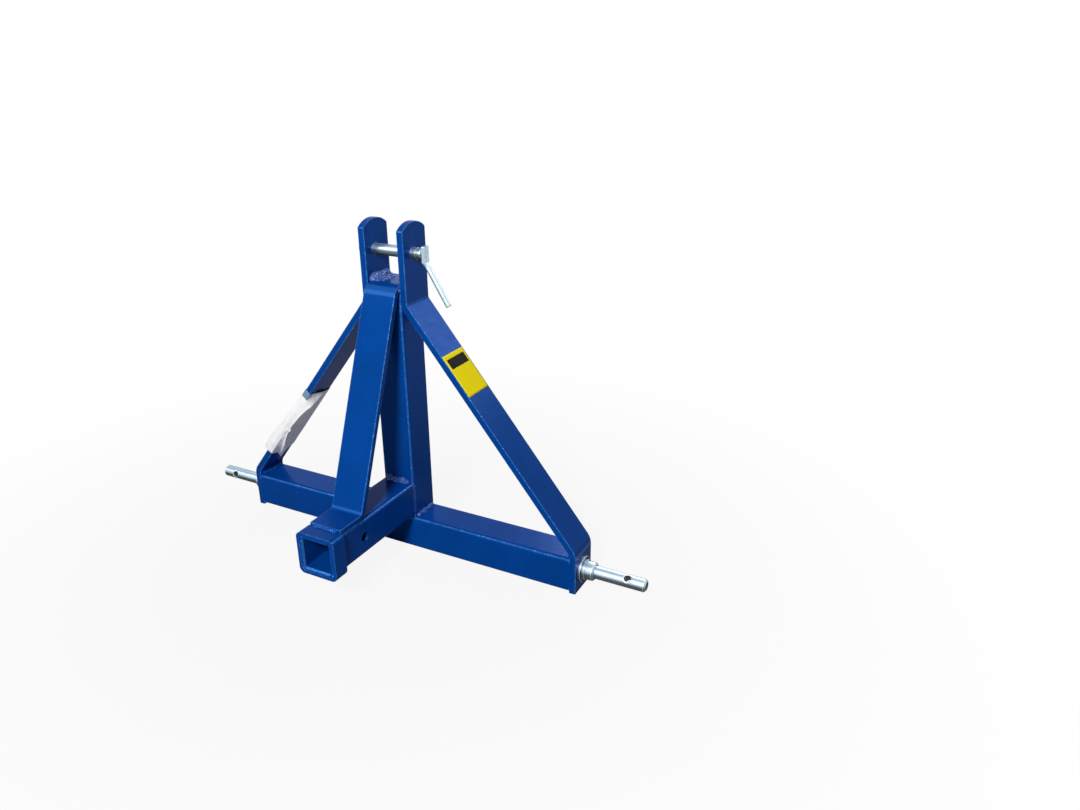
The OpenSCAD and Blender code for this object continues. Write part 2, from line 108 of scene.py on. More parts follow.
class HitchZinc(bpy.types.PropertyGroup):
    """Bright zinc plate on the pins, washers and handle."""

    colour: FloatVectorProperty(
        name="Zinc", description="Colour of the plated steel", subtype="COLOR", size=3, min=0, max=1,
        default=(0.49, 0.64, 0.73))
    # Painted shade: darker colour on the undersides of the zinc pieces, standing in for the dark ground they
    # reflect
    shade: FloatVectorProperty(
        name="Underside", description="Colour of the duller plate on the undersides", subtype="COLOR",
        size=3, min=0, max=1, default=(0.17, 0.21, 0.22))
    # Painted reflection: colour of a bluish line of sky along the tops of round pieces
    line: FloatVectorProperty(
        name="Upper line", description="Colour of the cooler line along the tops of round pieces",
        subtype="COLOR", size=3, min=0, max=1, default=(0.30, 0.36, 0.56))
    roughness: FloatProperty(
        name="Roughness", description="Roughness of the plate", default=0.34, min=0.05, max=0.9)
    turning_pitch: FloatProperty(
        name="Turning pitch", description="Distance between the marks of the lathe tool",
        unit="LENGTH", default=0.35 * MM, min=0.1 * MM, max=0.005)
    turning_depth: FloatProperty(
        name="Turning depth", description="Depth of those marks", unit="LENGTH",
        default=0.0015 * MM, min=0, max=0.1 * MM)


class HitchEdges(bpy.types.PropertyGroup):
    """Rounding of the sharp edges."""

    bar: FloatProperty(
        name="Flat bar", description="Edge radius of the flat bars", unit="LENGTH",
        default=1.3 * MM, min=0.2 * MM, max=0.003)
    tube: FloatProperty(
        name="Tube ends", description="Edge radius of the sawn tube ends and their holes",
        unit="LENGTH", default=0.6 * MM, min=0.2 * MM, max=0.003)
    turned: FloatProperty(
        name="Turned pieces", description="Edge radius of the pins and washers", unit="LENGTH",
        default=0.4 * MM, min=0.1 * MM, max=0.002)
    segments: IntProperty(
        name="Segments", description="Faces across a rounded edge", default=3, min=1, max=6)


class HitchWelds(bpy.types.PropertyGroup):
    """Weld beads."""

    leg: FloatProperty(
        name="Leg", description="Leg of the fillets between the tubes", unit="LENGTH",
        default=6 * MM, min=0.003, max=0.01)
    heavy_leg: FloatProperty(
        name="Heavy leg", description="Leg of the fillet between the receiver's top and the post",
        unit="LENGTH", default=8 * MM, min=0.003, max=0.012)
    seam_width: FloatProperty(
        name="Seam width", description="Width of the beads on flush faces", unit="LENGTH",
        default=8 * MM, min=0.003, max=0.015)
    seam_height: FloatProperty(
        name="Seam height", description="Height of those beads", unit="LENGTH",
        default=1.1 * MM, min=0.0005, max=0.004)
    ripple_pitch: FloatProperty(
        name="Ripple pitch", description="Distance between two ripples of a bead", unit="LENGTH",
        default=3.2 * MM, min=0.001, max=0.008)
    ripple_depth: FloatProperty(
        name="Ripple depth", description="Depth of a ripple as a share of the bead",
        default=0.2, min=0, max=0.5)
    lumps: FloatProperty(
        name="Lumps", description="Roughness of the beads as a share of their size",
        default=0.3, min=0, max=0.8)


class HitchPatch(bpy.types.PropertyGroup):
    """Plain yellow patches on the arms."""

    yellow: FloatVectorProperty(
        name="Yellow", description="Colour of the patch", subtype="COLOR", size=3, min=0, max=1,
        default=(1.0, 0.82, 0.002))
    dark: FloatVectorProperty(
        name="Stripe", description="Colour of its plain stripe", subtype="COLOR", size=3,
        min=0, max=1, default=(0.012, 0.012, 0.012))
    start: FloatProperty(
        name="Start", description="Distance of the patch below the ear's bend, along the arm",
        unit="LENGTH", default=0.098, min=0.01, max=0.3)
    length: FloatProperty(
        name="Length", description="Length of the patch along the arm", unit="LENGTH",
        default=0.079, min=0.02, max=0.2)
    margin: FloatProperty(
        name="Margin", description="Bare paint between the patch and the edges of the bar",
        unit="LENGTH", default=1.6 * MM, min=0.0005, max=0.02)
    thickness: FloatProperty(
        name="Thickness", description="Thickness of the vinyl", unit="LENGTH",
        default=0.2 * MM, min=0.05 * MM, max=0.001)


class HitchSleeve(bpy.types.PropertyGroup):
    """White film sleeve on the left arm."""

    colour: FloatVectorProperty(
        name="Film", description="Colour of the film", subtype="COLOR", size=3, min=0, max=1,
        default=(0.97, 0.965, 0.985))
    tight: FloatVectorProperty(
        name="Tight film", description="Colour of the band where the film lies on the paint",
        subtype="COLOR", size=3, min=0, max=1, default=(0.17, 0.25, 0.40))
    slack: FloatProperty(
        name="Slack", description="How far the film stands off the arm, as a share of its usual slack",
        default=1.0, min=0, max=1.5)
    wrinkle: FloatProperty(
        name="Wrinkle", description="Depth of the creases in the film", unit="LENGTH",
        default=0.9 * MM, min=0, max=0.005)


class HitchStage(bpy.types.PropertyGroup):
    """Camera, lamps and floor."""

    place: FloatVectorProperty(
        name="Camera", description="Where the camera stands", subtype="TRANSLATION", unit="LENGTH",
        size=3, default=(0.84695, -1.01799, 0.85390))
    azimuth: FloatProperty(
        name="Azimuth", description="Turn of the camera around the hitch", subtype="ANGLE",
        default=math.radians(27.096))
    elevation: FloatProperty(
        name="Elevation", description="Height of the camera as an angle", subtype="ANGLE",
        default=math.radians(22.861))
    roll: FloatProperty(
        name="Roll", description="Tilt of the camera", subtype="ANGLE",
        default=math.radians(-0.224))
    lens: FloatProperty(
        name="Lens", description="Focal length in millimetres on a 36 mm sensor", default=28.63)
    key_power: FloatProperty(
        name="Key lamp", description="Power of the main lamp in watts", default=73, min=0)
    line_power: FloatProperty(
        name="Line lamp", description="Power of the small lamp that draws lines on rounded corners, in watts",
        default=15, min=0)
    sheen_power: FloatProperty(
        name="Sheen lamp", description="Power of the small lamp that the right arm reflects, in watts",
        default=9, min=0)
    back_power: FloatProperty(
        name="Back lamp", description="Power of the weak lamp behind the hitch in watts", default=18, min=0)
    ambient: FloatProperty(
        name="Ambient", description="Strength of the light from all around", default=0.1, min=0)


GROUPS = {
    "hitch_paint": HitchPaint,
    "hitch_zinc": HitchZinc,
    "hitch_edges": HitchEdges,
    "hitch_welds": HitchWelds,
    "hitch_patch": HitchPatch,
    "hitch_sleeve": HitchSleeve,
    "hitch_stage": HitchStage,
}


def settings(name):
    """One group of settings of the scene."""
    return getattr(bpy.context.scene, "hitch_" + name)


# Node groups that the materials share


def new_group(name, inputs, outputs):
    """Empty node group with the given inputs and outputs."""
    tree = bpy.data.node_groups.new(name, "ShaderNodeTree")
    for label, kind, value in inputs:
        socket = tree.interface.new_socket(label, in_out="INPUT", socket_type=kind)
        socket.default_value = value
    for label, kind in outputs:
        tree.interface.new_socket(label, in_out="OUTPUT", socket_type=kind)
    return tree, tree.nodes.new("NodeGroupInput"), tree.nodes.new("NodeGroupOutput")


def add(tree, kind, **values):
    """New node with its properties and the defaults of its sockets."""
    node = tree.nodes.new(kind)
    for key, value in values.items():
        if hasattr(node, key):
            setattr(node, key, value)
        else:
            node.inputs[key.replace("_", " ")].default_value = value
    return node


def math_node(tree, operation, first, second=None):
    """Math node whose inputs are numbers or sockets."""
    node = tree.nodes.new("ShaderNodeMath")
    node.operation = operation
    for i, value in enumerate((first, second)):
        if value is None:
            continue
        if isinstance(value, (int, float)):
            node.inputs[i].default_value = value
        else:
            tree.links.new(value, node.inputs[i])
    return node.outputs[0]


def cloud_group():
    """Soft clouds between 0 and 1: colour and gloss that vary over a surface."""
    tree, given, out = new_group(
        "clouds",
        [("Size", "NodeSocketFloat", 0.03), ("Detail", "NodeSocketFloat", 3.0),
         ("Low", "NodeSocketFloat", 0.35), ("High", "NodeSocketFloat", 0.65)],
        [("Mask", "NodeSocketFloat")])
    place = add(tree, "ShaderNodeTexCoord").outputs["Object"]
    pattern = add(tree, "ShaderNodeTexNoise", Roughness=0.55)
    spread = add(tree, "ShaderNodeMapRange", clamp=True)
    tree.links.new(place, pattern.inputs["Vector"])
    tree.links.new(math_node(tree, "DIVIDE", 1.0, given.outputs["Size"]), pattern.inputs["Scale"])
    tree.links.new(given.outputs["Detail"], pattern.inputs["Detail"])
    tree.links.new(pattern.outputs["Fac"], spread.inputs["Value"])
    tree.links.new(given.outputs["Low"], spread.inputs["From Min"])
    tree.links.new(given.outputs["High"], spread.inputs["From Max"])
    tree.links.new(spread.outputs["Result"], out.inputs["Mask"])
    return tree


def speck_group():
    """Small scattered specks: dust in the paint, pits in the plate."""
    tree, given, out = new_group(
        "specks",
        [("Size", "NodeSocketFloat", 0.004), ("Radius", "NodeSocketFloat", 0.12)],
        [("Mask", "NodeSocketFloat")])
    place = add(tree, "ShaderNodeTexCoord").outputs["Object"]
    cells = add(tree, "ShaderNodeTexVoronoi")
    edge = add(tree, "ShaderNodeMapRange", clamp=True, To_Min=1.0, To_Max=0.0)
    tree.links.new(place, cells.inputs["Vector"])
    tree.links.new(math_node(tree, "DIVIDE", 1.0, given.outputs["Size"]), cells.inputs["Scale"])
    tree.links.new(cells.outputs["Distance"], edge.inputs["Value"])
    tree.links.new(math_node(tree, "MULTIPLY", given.outputs["Radius"], 0.5), edge.inputs["From Min"])
    tree.links.new(given.outputs["Radius"], edge.inputs["From Max"])
    tree.links.new(edge.outputs["Result"], out.inputs["Mask"])
    return tree


def lathe_group():
    """Rings that a lathe tool leaves along X, as a height between 0 and 1."""
    tree, given, out = new_group(
        "lathe marks", [("Pitch", "NodeSocketFloat", 0.0006)], [("Height", "NodeSocketFloat")])
    place = add(tree, "ShaderNodeTexCoord").outputs["Object"]
    along = add(tree, "ShaderNodeSeparateXYZ")
    marks = add(tree, "ShaderNodeTexNoise", noise_dimensions="1D", Scale=1.0, Detail=3.0)
    tree.links.new(place, along.inputs[0])
    tree.links.new(math_node(tree, "DIVIDE", along.outputs["X"], given.outputs["Pitch"]), marks.inputs["W"])
    tree.links.new(marks.outputs["Fac"], out.inputs["Height"])
    return tree


# Materials


def new_material(name, colour, metallic=0.0, **sockets):
    """Material with one shader whose constant values sit on its own sockets."""
    material = bpy.data.materials.new(name)
    material.use_nodes = True
    material.diffuse_color = (*colour, 1)
    tree = material.node_tree
    shader = tree.nodes["Principled BSDF"]
    shader.inputs["Metallic"].default_value = metallic
    for key, value in sockets.items():
        shader.inputs[key.replace("_", " ")].default_value = value
    return material, tree, shader


def grouped(tree, group, **values):
    """A shared node group placed in a material, with its own values."""
    node = tree.nodes.new("ShaderNodeGroup")
    node.node_tree = group
    for key, value in values.items():
        node.inputs[key].default_value = value
    return node.outputs[0]


def mixed(tree, mask, first, second):
    """Colour mix of two colours or sockets by a mask."""
    node = tree.nodes.new("ShaderNodeMix")
    node.data_type = "RGBA"
    tree.links.new(mask, node.inputs["Factor"])
    for label, value in (("A", first), ("B", second)):
        socket = next(s for s in node.inputs if s.name == label and s.type == "RGBA")
        if isinstance(value, bpy.types.NodeSocket):
            tree.links.new(value, socket)
        else:
            socket.default_value = (*value, 1)
    return next(s for s in node.outputs if s.type == "RGBA")


def ranged(tree, mask, low, high):
    """A mask between 0 and 1 spread over a range."""
    node = add(tree, "ShaderNodeMapRange", To_Min=low, To_Max=high)
    tree.links.new(mask, node.inputs["Value"])
    return node.outputs["Result"]


def bump(tree, shader, height, depth, before=None):
    """Relief of the given depth in metres on the shader's normal."""
    node = add(tree, "ShaderNodeBump", Strength=1.0, Distance=depth)
    tree.links.new(height, node.inputs["Height"])
    if before is not None:
        tree.links.new(before, node.inputs["Normal"])
    tree.links.new(node.outputs["Normal"], shader.inputs["Normal"])
    return node.outputs["Normal"]


def scaled(colour, share):
    """A colour made darker or lighter."""
    return tuple(min(1.0, c * share) for c in colour)


def clouded(tree, mask, colour, low, high=1.0):
    """A colour that varies between two shares of itself by a mask."""
    return mixed(tree, mask, scaled(colour, low), scaled(colour, high))


def attribute(tree, name):
    """Strength of one of the pieces' own attributes, between 0 and 1."""
    node = tree.nodes.new("ShaderNodeAttribute")
    node.attribute_name = name
    return node.outputs["Fac"]


# How much of the thin paint's colour an edge shows, where it is least and most worn; the same share breaks up
# the painted highlight lines
EDGE_WEAR_AND_HIGHLIGHT = (0.4, 0.85)
# Colour and strength of the small painted glints along worn and highlighted edges
GLINT_COLOUR = (0.45, 0.62, 0.9)
GLINT_STRENGTH = 0.3
# How strongly dust in the paint shows, how much lighter it is than thin paint, and its height
DUST_STRENGTH = 0.35
DUST_LIGHTER = 1.3
DUST_HEIGHT = 0.05 * MM
# The clouds' noise fills about half of its range, so the orange peel is made this much deeper
PEEL_GAIN = 2


def enamel(name, groups, thin, gloss, tint, peel=1.0, matt=0.0):
    """Sprayed blue enamel: orange peel, faint clouds, specks, thin paint on worn edges, and painted
    highlights and glints on edges, rolled corners and bends.

    thin is the colour where it runs thin and of its painted highlights, gloss and tint belong to its
    reflections, peel makes the orange peel deeper, and matt makes it rougher.
    """
    look = settings("paint")
    base = tuple(look.colour)
    material, tree, shader = new_material(
        name, base, metallic=0.12, Specular_IOR_Level=gloss, Specular_Tint=(*tint, 1.0))
    clouds = grouped(tree, groups["clouds"], Size=0.07, Detail=4.0, Low=0.3, High=0.7)
    fine = grouped(tree, groups["clouds"], Size=0.012, Detail=3.0, Low=0.35, High=0.7)
    broken = grouped(tree, groups["clouds"], Size=0.006, Detail=4.0, Low=0.48, High=0.64)
    dots = grouped(tree, groups["clouds"], Size=0.003, Detail=2.0, Low=0.55, High=0.66)
    specks = grouped(tree, groups["specks"], Size=0.009, Radius=0.07)
    edge = attribute(tree, "edge")
    # Worn thin paint on edges, and painted highlights: the edge attribute also holds the lines on rolled
    # corners, the bend attribute the bars' bends
    wear_and_highlight = math_node(tree, "MULTIPLY", edge, ranged(tree, broken, *EDGE_WEAR_AND_HIGHLIGHT))
    wear_and_highlight = math_node(tree, "MAXIMUM", wear_and_highlight, attribute(tree, "bend"))
    # Painted glints: small bright dots along worn and highlighted edges
    glints = math_node(tree, "MULTIPLY", math_node(tree, "MULTIPLY", edge, wear_and_highlight), dots)
    bright = math_node(tree, "MULTIPLY", glints, GLINT_STRENGTH)
    body = clouded(tree, clouds, base, 0.9, 1.08)
    body = mixed(tree, bright, mixed(tree, wear_and_highlight, body, thin), GLINT_COLOUR)
    dusty = math_node(tree, "MULTIPLY", specks, DUST_STRENGTH)
    body = mixed(tree, dusty, body, scaled(thin, DUST_LIGHTER))
    tree.links.new(body, shader.inputs["Base Color"])
    roughness = look.roughness + matt
    tree.links.new(
        ranged(tree, fine, roughness - 0.05, roughness + 0.06), shader.inputs["Roughness"])
    ripples = grouped(tree, groups["clouds"], Size=look.peel_size, Detail=2.0, Low=0.0, High=1.0)
    rough = bump(tree, shader, ripples, depth=look.peel_depth * peel * PEEL_GAIN)
    bump(tree, shader, specks, depth=DUST_HEIGHT, before=rough)
    return material


# Height of the normal, then strength of the painted sky reflection line along the tops of round pieces
PAINTED_SKY_LINE = ((0.74, 0.0), (0.86, 0.75), (0.90, 0.75), (0.97, 0.0))
# Painted highlight colour of the zinc along rounded edges and on the linch holes' rims
ZINC_EDGE_HIGHLIGHT = (0.86, 0.90, 0.92)
# How strongly pits in the zinc show, their share of its colour, and their depth
PIT_STRENGTH = 0.5
PIT_SHADE = 0.6
PIT_DEPTH = 0.003 * MM
# How far the zinc's roughness varies to each side
ZINC_POLISH = 0.06


def plate(name, groups, turned, shaded_below, lit_above):
    """Bright zinc plate with painted shade underneath, a painted sky reflection line along the tops and
    painted highlights on rounded edges, with lathe rings where the piece is turned.

    The last two arguments are the heights of the surface's normal between which the painted underside shade
    fades out.
    """
    look = settings("zinc")
    material, tree, shader = new_material(
        name, look.colour, metallic=0.85, Specular_Tint=(0.35, 0.4, 0.42, 1.0))
    clouds = grouped(tree, groups["clouds"], Size=0.02, Detail=4.0, Low=0.25, High=0.75)
    pits = grouped(tree, groups["specks"], Size=0.0035, Radius=0.12)
    body = clouded(tree, clouds, look.colour, 0.92, 1.08)
    pitted = math_node(tree, "MULTIPLY", pits, PIT_STRENGTH)
    body = mixed(tree, pitted, body, scaled(look.colour, PIT_SHADE))
    way = add(tree, "ShaderNodeSeparateXYZ")
    tree.links.new(add(tree, "ShaderNodeTexCoord").outputs["Normal"], way.inputs[0])
    # Painted shade: the colour darkens towards the undersides by the height of the surface's normal
    under = add(tree, "ShaderNodeMapRange", clamp=True, interpolation_type="SMOOTHSTEP",
                From_Min=shaded_below, From_Max=lit_above, To_Min=1.0, To_Max=0.0)
    tree.links.new(way.outputs["Z"], under.inputs["Value"])
    # Painted reflection: a bluish sky line where the normal points nearly straight up
    line = add(tree, "ShaderNodeValToRGB")
    stops = line.color_ramp.elements
    for place, value in PAINTED_SKY_LINE:
        stops.new(place).color = (value, value, value, 1)
    # The white end that a new ramp comes with
    stops.remove(stops[-1])
    tree.links.new(way.outputs["Z"], line.inputs[0])
    body = mixed(tree, line.outputs[0], body, tuple(look.line))
    body = mixed(tree, under.outputs["Result"], body, tuple(look.shade))
    # Painted highlight on rounded edges and the linch holes' rims
    body = mixed(tree, attribute(tree, "edge"), body, ZINC_EDGE_HIGHLIGHT)
    tree.links.new(body, shader.inputs["Base Color"])
    low, high = look.roughness - ZINC_POLISH, look.roughness + ZINC_POLISH
    tree.links.new(ranged(tree, clouds, low, high), shader.inputs["Roughness"])
    if turned:
        marks = grouped(tree, groups["lathe marks"], Pitch=look.turning_pitch)
    else:
        marks = grouped(tree, groups["clouds"], Size=0.002, Detail=3.0, Low=0.0, High=1.0)
    before = bump(tree, shader, marks, depth=look.turning_depth)
    bump(tree, shader, pits, depth=-PIT_DEPTH, before=before)
    return material


def bore(name, groups):
    """Painted shade inside the pins' cross holes: dark, dull steel colour standing in for the shade on their
    walls.
    """
    colour = tuple(settings("zinc").shade)
    material, tree, shader = new_material(name, colour, metallic=0.6, Specular_IOR_Level=0.2)
    clouds = grouped(tree, groups["clouds"], Size=0.003, Detail=4.0, Low=0.3, High=0.7)
    tree.links.new(clouded(tree, clouds, colour, 0.35, 0.8), shader.inputs["Base Color"])
    tree.links.new(ranged(tree, clouds, low=0.5, high=0.7), shader.inputs["Roughness"])
    bump(tree, shader, clouds, depth=0.03 * MM)
    return material


def vinyl(name, groups, colour):
    """Smooth self-adhesive vinyl."""
    material, tree, shader = new_material(name, colour, Specular_IOR_Level=0.03)
    clouds = grouped(tree, groups["clouds"], Size=0.02, Detail=3.0, Low=0.3, High=0.7)
    tree.links.new(clouded(tree, clouds, colour, 0.94), shader.inputs["Base Color"])
    tree.links.new(ranged(tree, clouds, low=0.38, high=0.5), shader.inputs["Roughness"])
    cells = grouped(tree, groups["clouds"], Size=0.004, Detail=2.0, Low=0.0, High=1.0)
    bump(tree, shader, cells, depth=0.02 * MM)
    return material


def film(name, groups):
    """Thin white packing film with fine wrinkles."""
    look = settings("sleeve")
    material, tree, shader = new_material(name, look.colour, Specular_IOR_Level=0.35)
    clouds = grouped(tree, groups["clouds"], Size=0.03, Detail=4.0, Low=0.3, High=0.7)
    body = clouded(tree, clouds, look.colour, 0.96)
    body = mixed(tree, attribute(tree, "tight"), body, tuple(look.tight))
    tree.links.new(body, shader.inputs["Base Color"])
    tree.links.new(ranged(tree, clouds, low=0.32, high=0.5), shader.inputs["Roughness"])
    wrinkles = grouped(tree, groups["clouds"], Size=0.006, Detail=5.0, Low=0.0, High=1.0)
    bump(tree, shader, wrinkles, depth=0.4 * MM)
    return material


materials = {}


def make_materials():
    """All materials of the hitch, by name."""
    paint = settings("paint")
    patch = settings("patch")
    groups = {tree.name: tree for tree in (cloud_group(), speck_group(), lathe_group())}
    materials["paint"] = enamel(
        "blue_enamel", groups, tuple(paint.thin_and_lit_colour), gloss=0.07, tint=(0.15, 0.45, 1.0))
    # Welds: dull paint whose lilac colour is partly a painted sky reflection
    materials["weld"] = enamel(
        "enamel_on_welds", groups, tuple(paint.weld_paint_and_sky_sheen), gloss=0.3, tint=(0.7, 0.8, 1.0),
        peel=2.0, matt=0.13)
    # Each zinc gets its painted underside shade between the given heights of the normal
    materials["turned"] = plate("turned_zinc", groups, turned=True, shaded_below=0.02, lit_above=0.3)
    materials["pressed"] = plate("pressed_zinc", groups, turned=False, shaded_below=-0.7, lit_above=-0.2)
    materials["washer"] = plate("washer_zinc", groups, turned=False, shaded_below=0.0, lit_above=0.4)
    # Painted shade for the walls of the linch holes
    materials["bore"] = bore("bored_steel", groups)
    materials["yellow"] = vinyl("yellow_vinyl", groups, tuple(patch.yellow))
    materials["dark"] = vinyl("dark_vinyl", groups, tuple(patch.dark))
    materials["film"] = film("white_film", groups)


# Meshes


def node_copy(node):
    """Copy of a CAD node's mesh with its loose triangles merged into flat faces."""
    bm = bmesh.new()
    bm.from_mesh(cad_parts[node].data)
    bmesh.ops.remove_doubles(bm, verts=bm.verts, dist=MERGE)
    bmesh.ops.dissolve_limit(
        bm, angle_limit=FLAT_TURN, verts=bm.verts, edges=bm.edges, use_dissolve_boundaries=False)
    return bm


def is_sharp(edge):
    """True for an outside edge that turns more than SHARP_TURN."""
    return edge.is_manifold and edge.calc_face_angle_signed(0.0) > SHARP_TURN


def bevel(bm, edges, radius, segments):
    """Rounds edges and gives back the new faces."""
    return bmesh.ops.bevel(
        bm, geom=edges, offset=radius, offset_type="OFFSET", segments=segments, profile=0.5,
        affect="EDGES", clamp_overlap=True, material=-1, loop_slide=True)["faces"]


def round_edges(bm, radius, segments, skip=None):
    """Bevels the sharp edges and marks the new faces in the corner attribute "edge".

    skip is a test of an edge's middle, for edges that stay as they are.
    """
    bm.normal_update()
    sharp = [e for e in bm.edges if is_sharp(e)
             and not (skip and skip((e.verts[0].co + e.verts[1].co) / 2))]
    rounded = set(bevel(bm, sharp, radius, segments))
    layer = bm.loops.layers.float_color.new("edge")
    for face in bm.faces:
        paint_face(face, layer, 1.0 if face in rounded else 0.0)


def paint_face(face, layer, value):
    """Sets an attribute of a whole face."""
    for loop in face.loops:
        loop[layer] = (value, value, value, 1.0)


def paint_corner_highlights(bm, strength):
    """Paints highlight lines along the middle of the tubes' rolled corners, through the attribute "edge"."""
    bm.normal_update()
    layer = bm.loops.layers.float_color["edge"]
    for face in bm.faces:
        steep = sorted(abs(c) for c in face.normal)
        if steep[2] < math.cos(CORNER_TURN) and steep[0] < CORNER_LEAN:
            paint_face(face, layer, strength)


def paint_bend_highlight(bm, across, strength, low, high):
    """Paints a highlight on a flat bar's bend through the attribute "bend".

    across is the axis of the bar's width, and low and high are the heights of the surface's normal between
    which the bend gets the painted highlight.
    """
    bm.normal_update()
    layer = bm.loops.layers.float_color.new("bend")
    for face in bm.faces:
        bent = face.calc_area() <= BEND_FACE and abs(face.normal[across]) <= BEND_LEAN
        paint_face(face, layer, strength if bent and low < face.normal.z < high else 0.0)


def cut(bm, place, way, near=0.0):
    """Cuts every face that crosses a plane; vertices as near as given count as on it."""
    bmesh.ops.bisect_plane(
        bm, geom=bm.verts[:] + bm.edges[:] + bm.faces[:], dist=near, plane_co=place, plane_no=way)


def cut_across(bm, start, way, length, step):
    """Cuts long faces into short ones, so that a round surface shades evenly."""
    for i in range(1, round(length / step)):
        cut(bm, start + way * step * i, way, near=MERGE)


def finished(bm, name, material, body, replaced=(), weighted=True):
    """Turns a bmesh into a smooth-shaded piece that rides on a body."""
    mesh = bpy.data.meshes.new(name)
    for face in bm.faces:
        face.smooth = True
    bm.to_mesh(mesh)
    bm.free()
    piece = bpy.data.objects.new(name, mesh)
    bpy.context.scene.collection.objects.link(piece)
    for key in (material,) if isinstance(material, str) else material:
        mesh.materials.append(materials[key])
    if weighted:
        normals = piece.modifiers.new("flat faces stay flat", "WEIGHTED_NORMAL")
        normals.weight = 80
        normals.keep_sharp = True
    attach(piece, body)
    if replaced:
        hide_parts(*replaced)
    return piece


def rounded_node(node, material, body, radius, corner_highlight=0.0, bend=None, stretch=None):
    """A CAD node's own shape with rounded edges, in its place.

    The last three arguments are the strength of the painted highlight lines on rolled corners, what the bar's
    painted bend highlight needs, and the start, direction and length along which long faces are cut.
    """
    bm = node_copy(node)
    round_edges(bm, radius, settings("edges").segments)
    if corner_highlight:
        paint_corner_highlights(bm, corner_highlight)
    if bend:
        paint_bend_highlight(bm, *bend)
    if stretch:
        cut_across(bm, *stretch, CUT_STEP)
    return finished(bm, node + "_finish", material, body, replaced=(node,))


class Slope:
    """The sloping face of an arm: its corner under the ear, its directions and its width."""

    # Range of the sideways part of its normal
    LEAN = (0.3, 0.95)

    def __init__(self, arm):
        side = 1 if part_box(arm)[1][0] > 0 else -1
        bm = node_copy(arm)
        bm.normal_update()
        low, high = self.LEAN
        outer = [f for f in bm.faces if low < f.normal.x * side < high and f.normal.z > 0]
        face = max(outer, key=lambda f: f.calc_area())
        high = max(v.co.z for v in face.verts)
        low = min(v.co.z for v in face.verts)
        front = min(v.co.y for v in face.verts)
        back = max(v.co.y for v in face.verts)
        tops = [v.co for v in face.verts if v.co.z > high - MM]
        feet = [v.co for v in face.verts if v.co.z < low + MM]
        self.width = back - front
        self.corner = Vector((tops[0].x, front, high))
        self.down = (Vector((feet[0].x, front, low)) - self.corner).normalized()
        self.out = face.normal.copy()
        bm.free()

    def at(self, along, across, above):
        """A point by its distances down the slope, back from the front edge, and off the face."""
        return self.corner + self.down * along + Y * across + self.out * above


# Weld beads


class Bead:
    """One weld bead along a straight root line, with a round section between two directions.

    The section turns from first to second, or with half_turn from first over second to the
    other side.
    """

    def __init__(self, start, end, first, second, half_turn=False):
        self.start = Vector(start)
        self.end = Vector(end)
        self.first = Vector(first)
        self.second = Vector(second)
        self.half_turn = half_turn
        self.sweep = math.pi if half_turn else math.pi / 2


RING_POINTS = 14
BEAD_STEP = 0.5 * MM
FEWEST_STEPS = 8
# Share of the round arc in a fillet's section, the rest is the straight chord
ROUNDNESS = 0.62
# Bend of a ripple's crescent, and how far ripples wander, as shares of their pitch
CRESCENT = 0.45
WANDER = 0.6
# Length over which they wander, in pitches
WANDER_PITCHES = 3
# Depth of a ripple's valley as a share of the ripples' depth, and height of the slow swell
# under them as a share of the bead
VALLEY = 0.6
SLOW_SWELL = 0.16
# Sizes of the coarse and the fine lumps, the share of the fine ones, and what levels both
COARSE_LUMP = 4.5 * MM
FINE_LUMP = 1.7 * MM
FINE_SHARE = 0.8
LUMP_LEVEL = 0.2
# Length of bead for each drop of spatter, its distance from the root in legs, and its radius
# in millimetres
SPATTER_STEP = 9 * MM
SPATTER_REACH = (1.1, 1.6)
SPATTER_RADIUS = (0.3, 0.65)


def section_point(bead, turn):
    """Point of a bead's section, from the root, at a turn from the first direction."""
    arc = bead.first * math.cos(turn) + bead.second * math.sin(turn)
    if bead.half_turn:
        return arc
    share = turn / bead.sweep
    chord = bead.first * (1 - share) + bead.second * share
    return chord.lerp(arc, ROUNDNESS)


def ripple(distance, turn_share, seed):
    """Height of the bead's scales at a distance along it: crescents with sharp valleys."""
    look = settings("welds")
    wander = noise.noise(Vector((distance / (WANDER_PITCHES * look.ripple_pitch), seed, 0.5)))
    crescent = math.sin(math.pi * turn_share) * CRESCENT
    phase = (distance / look.ripple_pitch + crescent + WANDER * wander) % 1.0
    scale = math.sqrt(max(0.0, 1 - (2 * phase - 1) ** 2))
    return look.ripple_depth * (scale - VALLEY) + SLOW_SWELL * wander


def lump(point):
    """Rough lumps of a hand-laid bead, as a share of its size."""
    coarse = noise.noise(point / COARSE_LUMP)
    fine = abs(noise.noise(point / FINE_LUMP))
    return settings("welds").lumps * (coarse + FINE_SHARE * fine - LUMP_LEVEL)


def spatter(bm, bead, seed):
    """Small round drops that stick to the plates beside a bead."""
    source = random.Random(seed)
    line = bead.end - bead.start
    ways = (bead.first, -bead.first if bead.half_turn else bead.second)
    for _ in range(int(line.length / SPATTER_STEP)):
        way = source.choice(ways)
        place = bead.start + line * source.random() + way * source.uniform(*SPATTER_REACH)
        size = source.uniform(*SPATTER_RADIUS) * MM
        bmesh.ops.create_icosphere(bm, subdivisions=2, radius=size, matrix=Matrix.Translation(place))


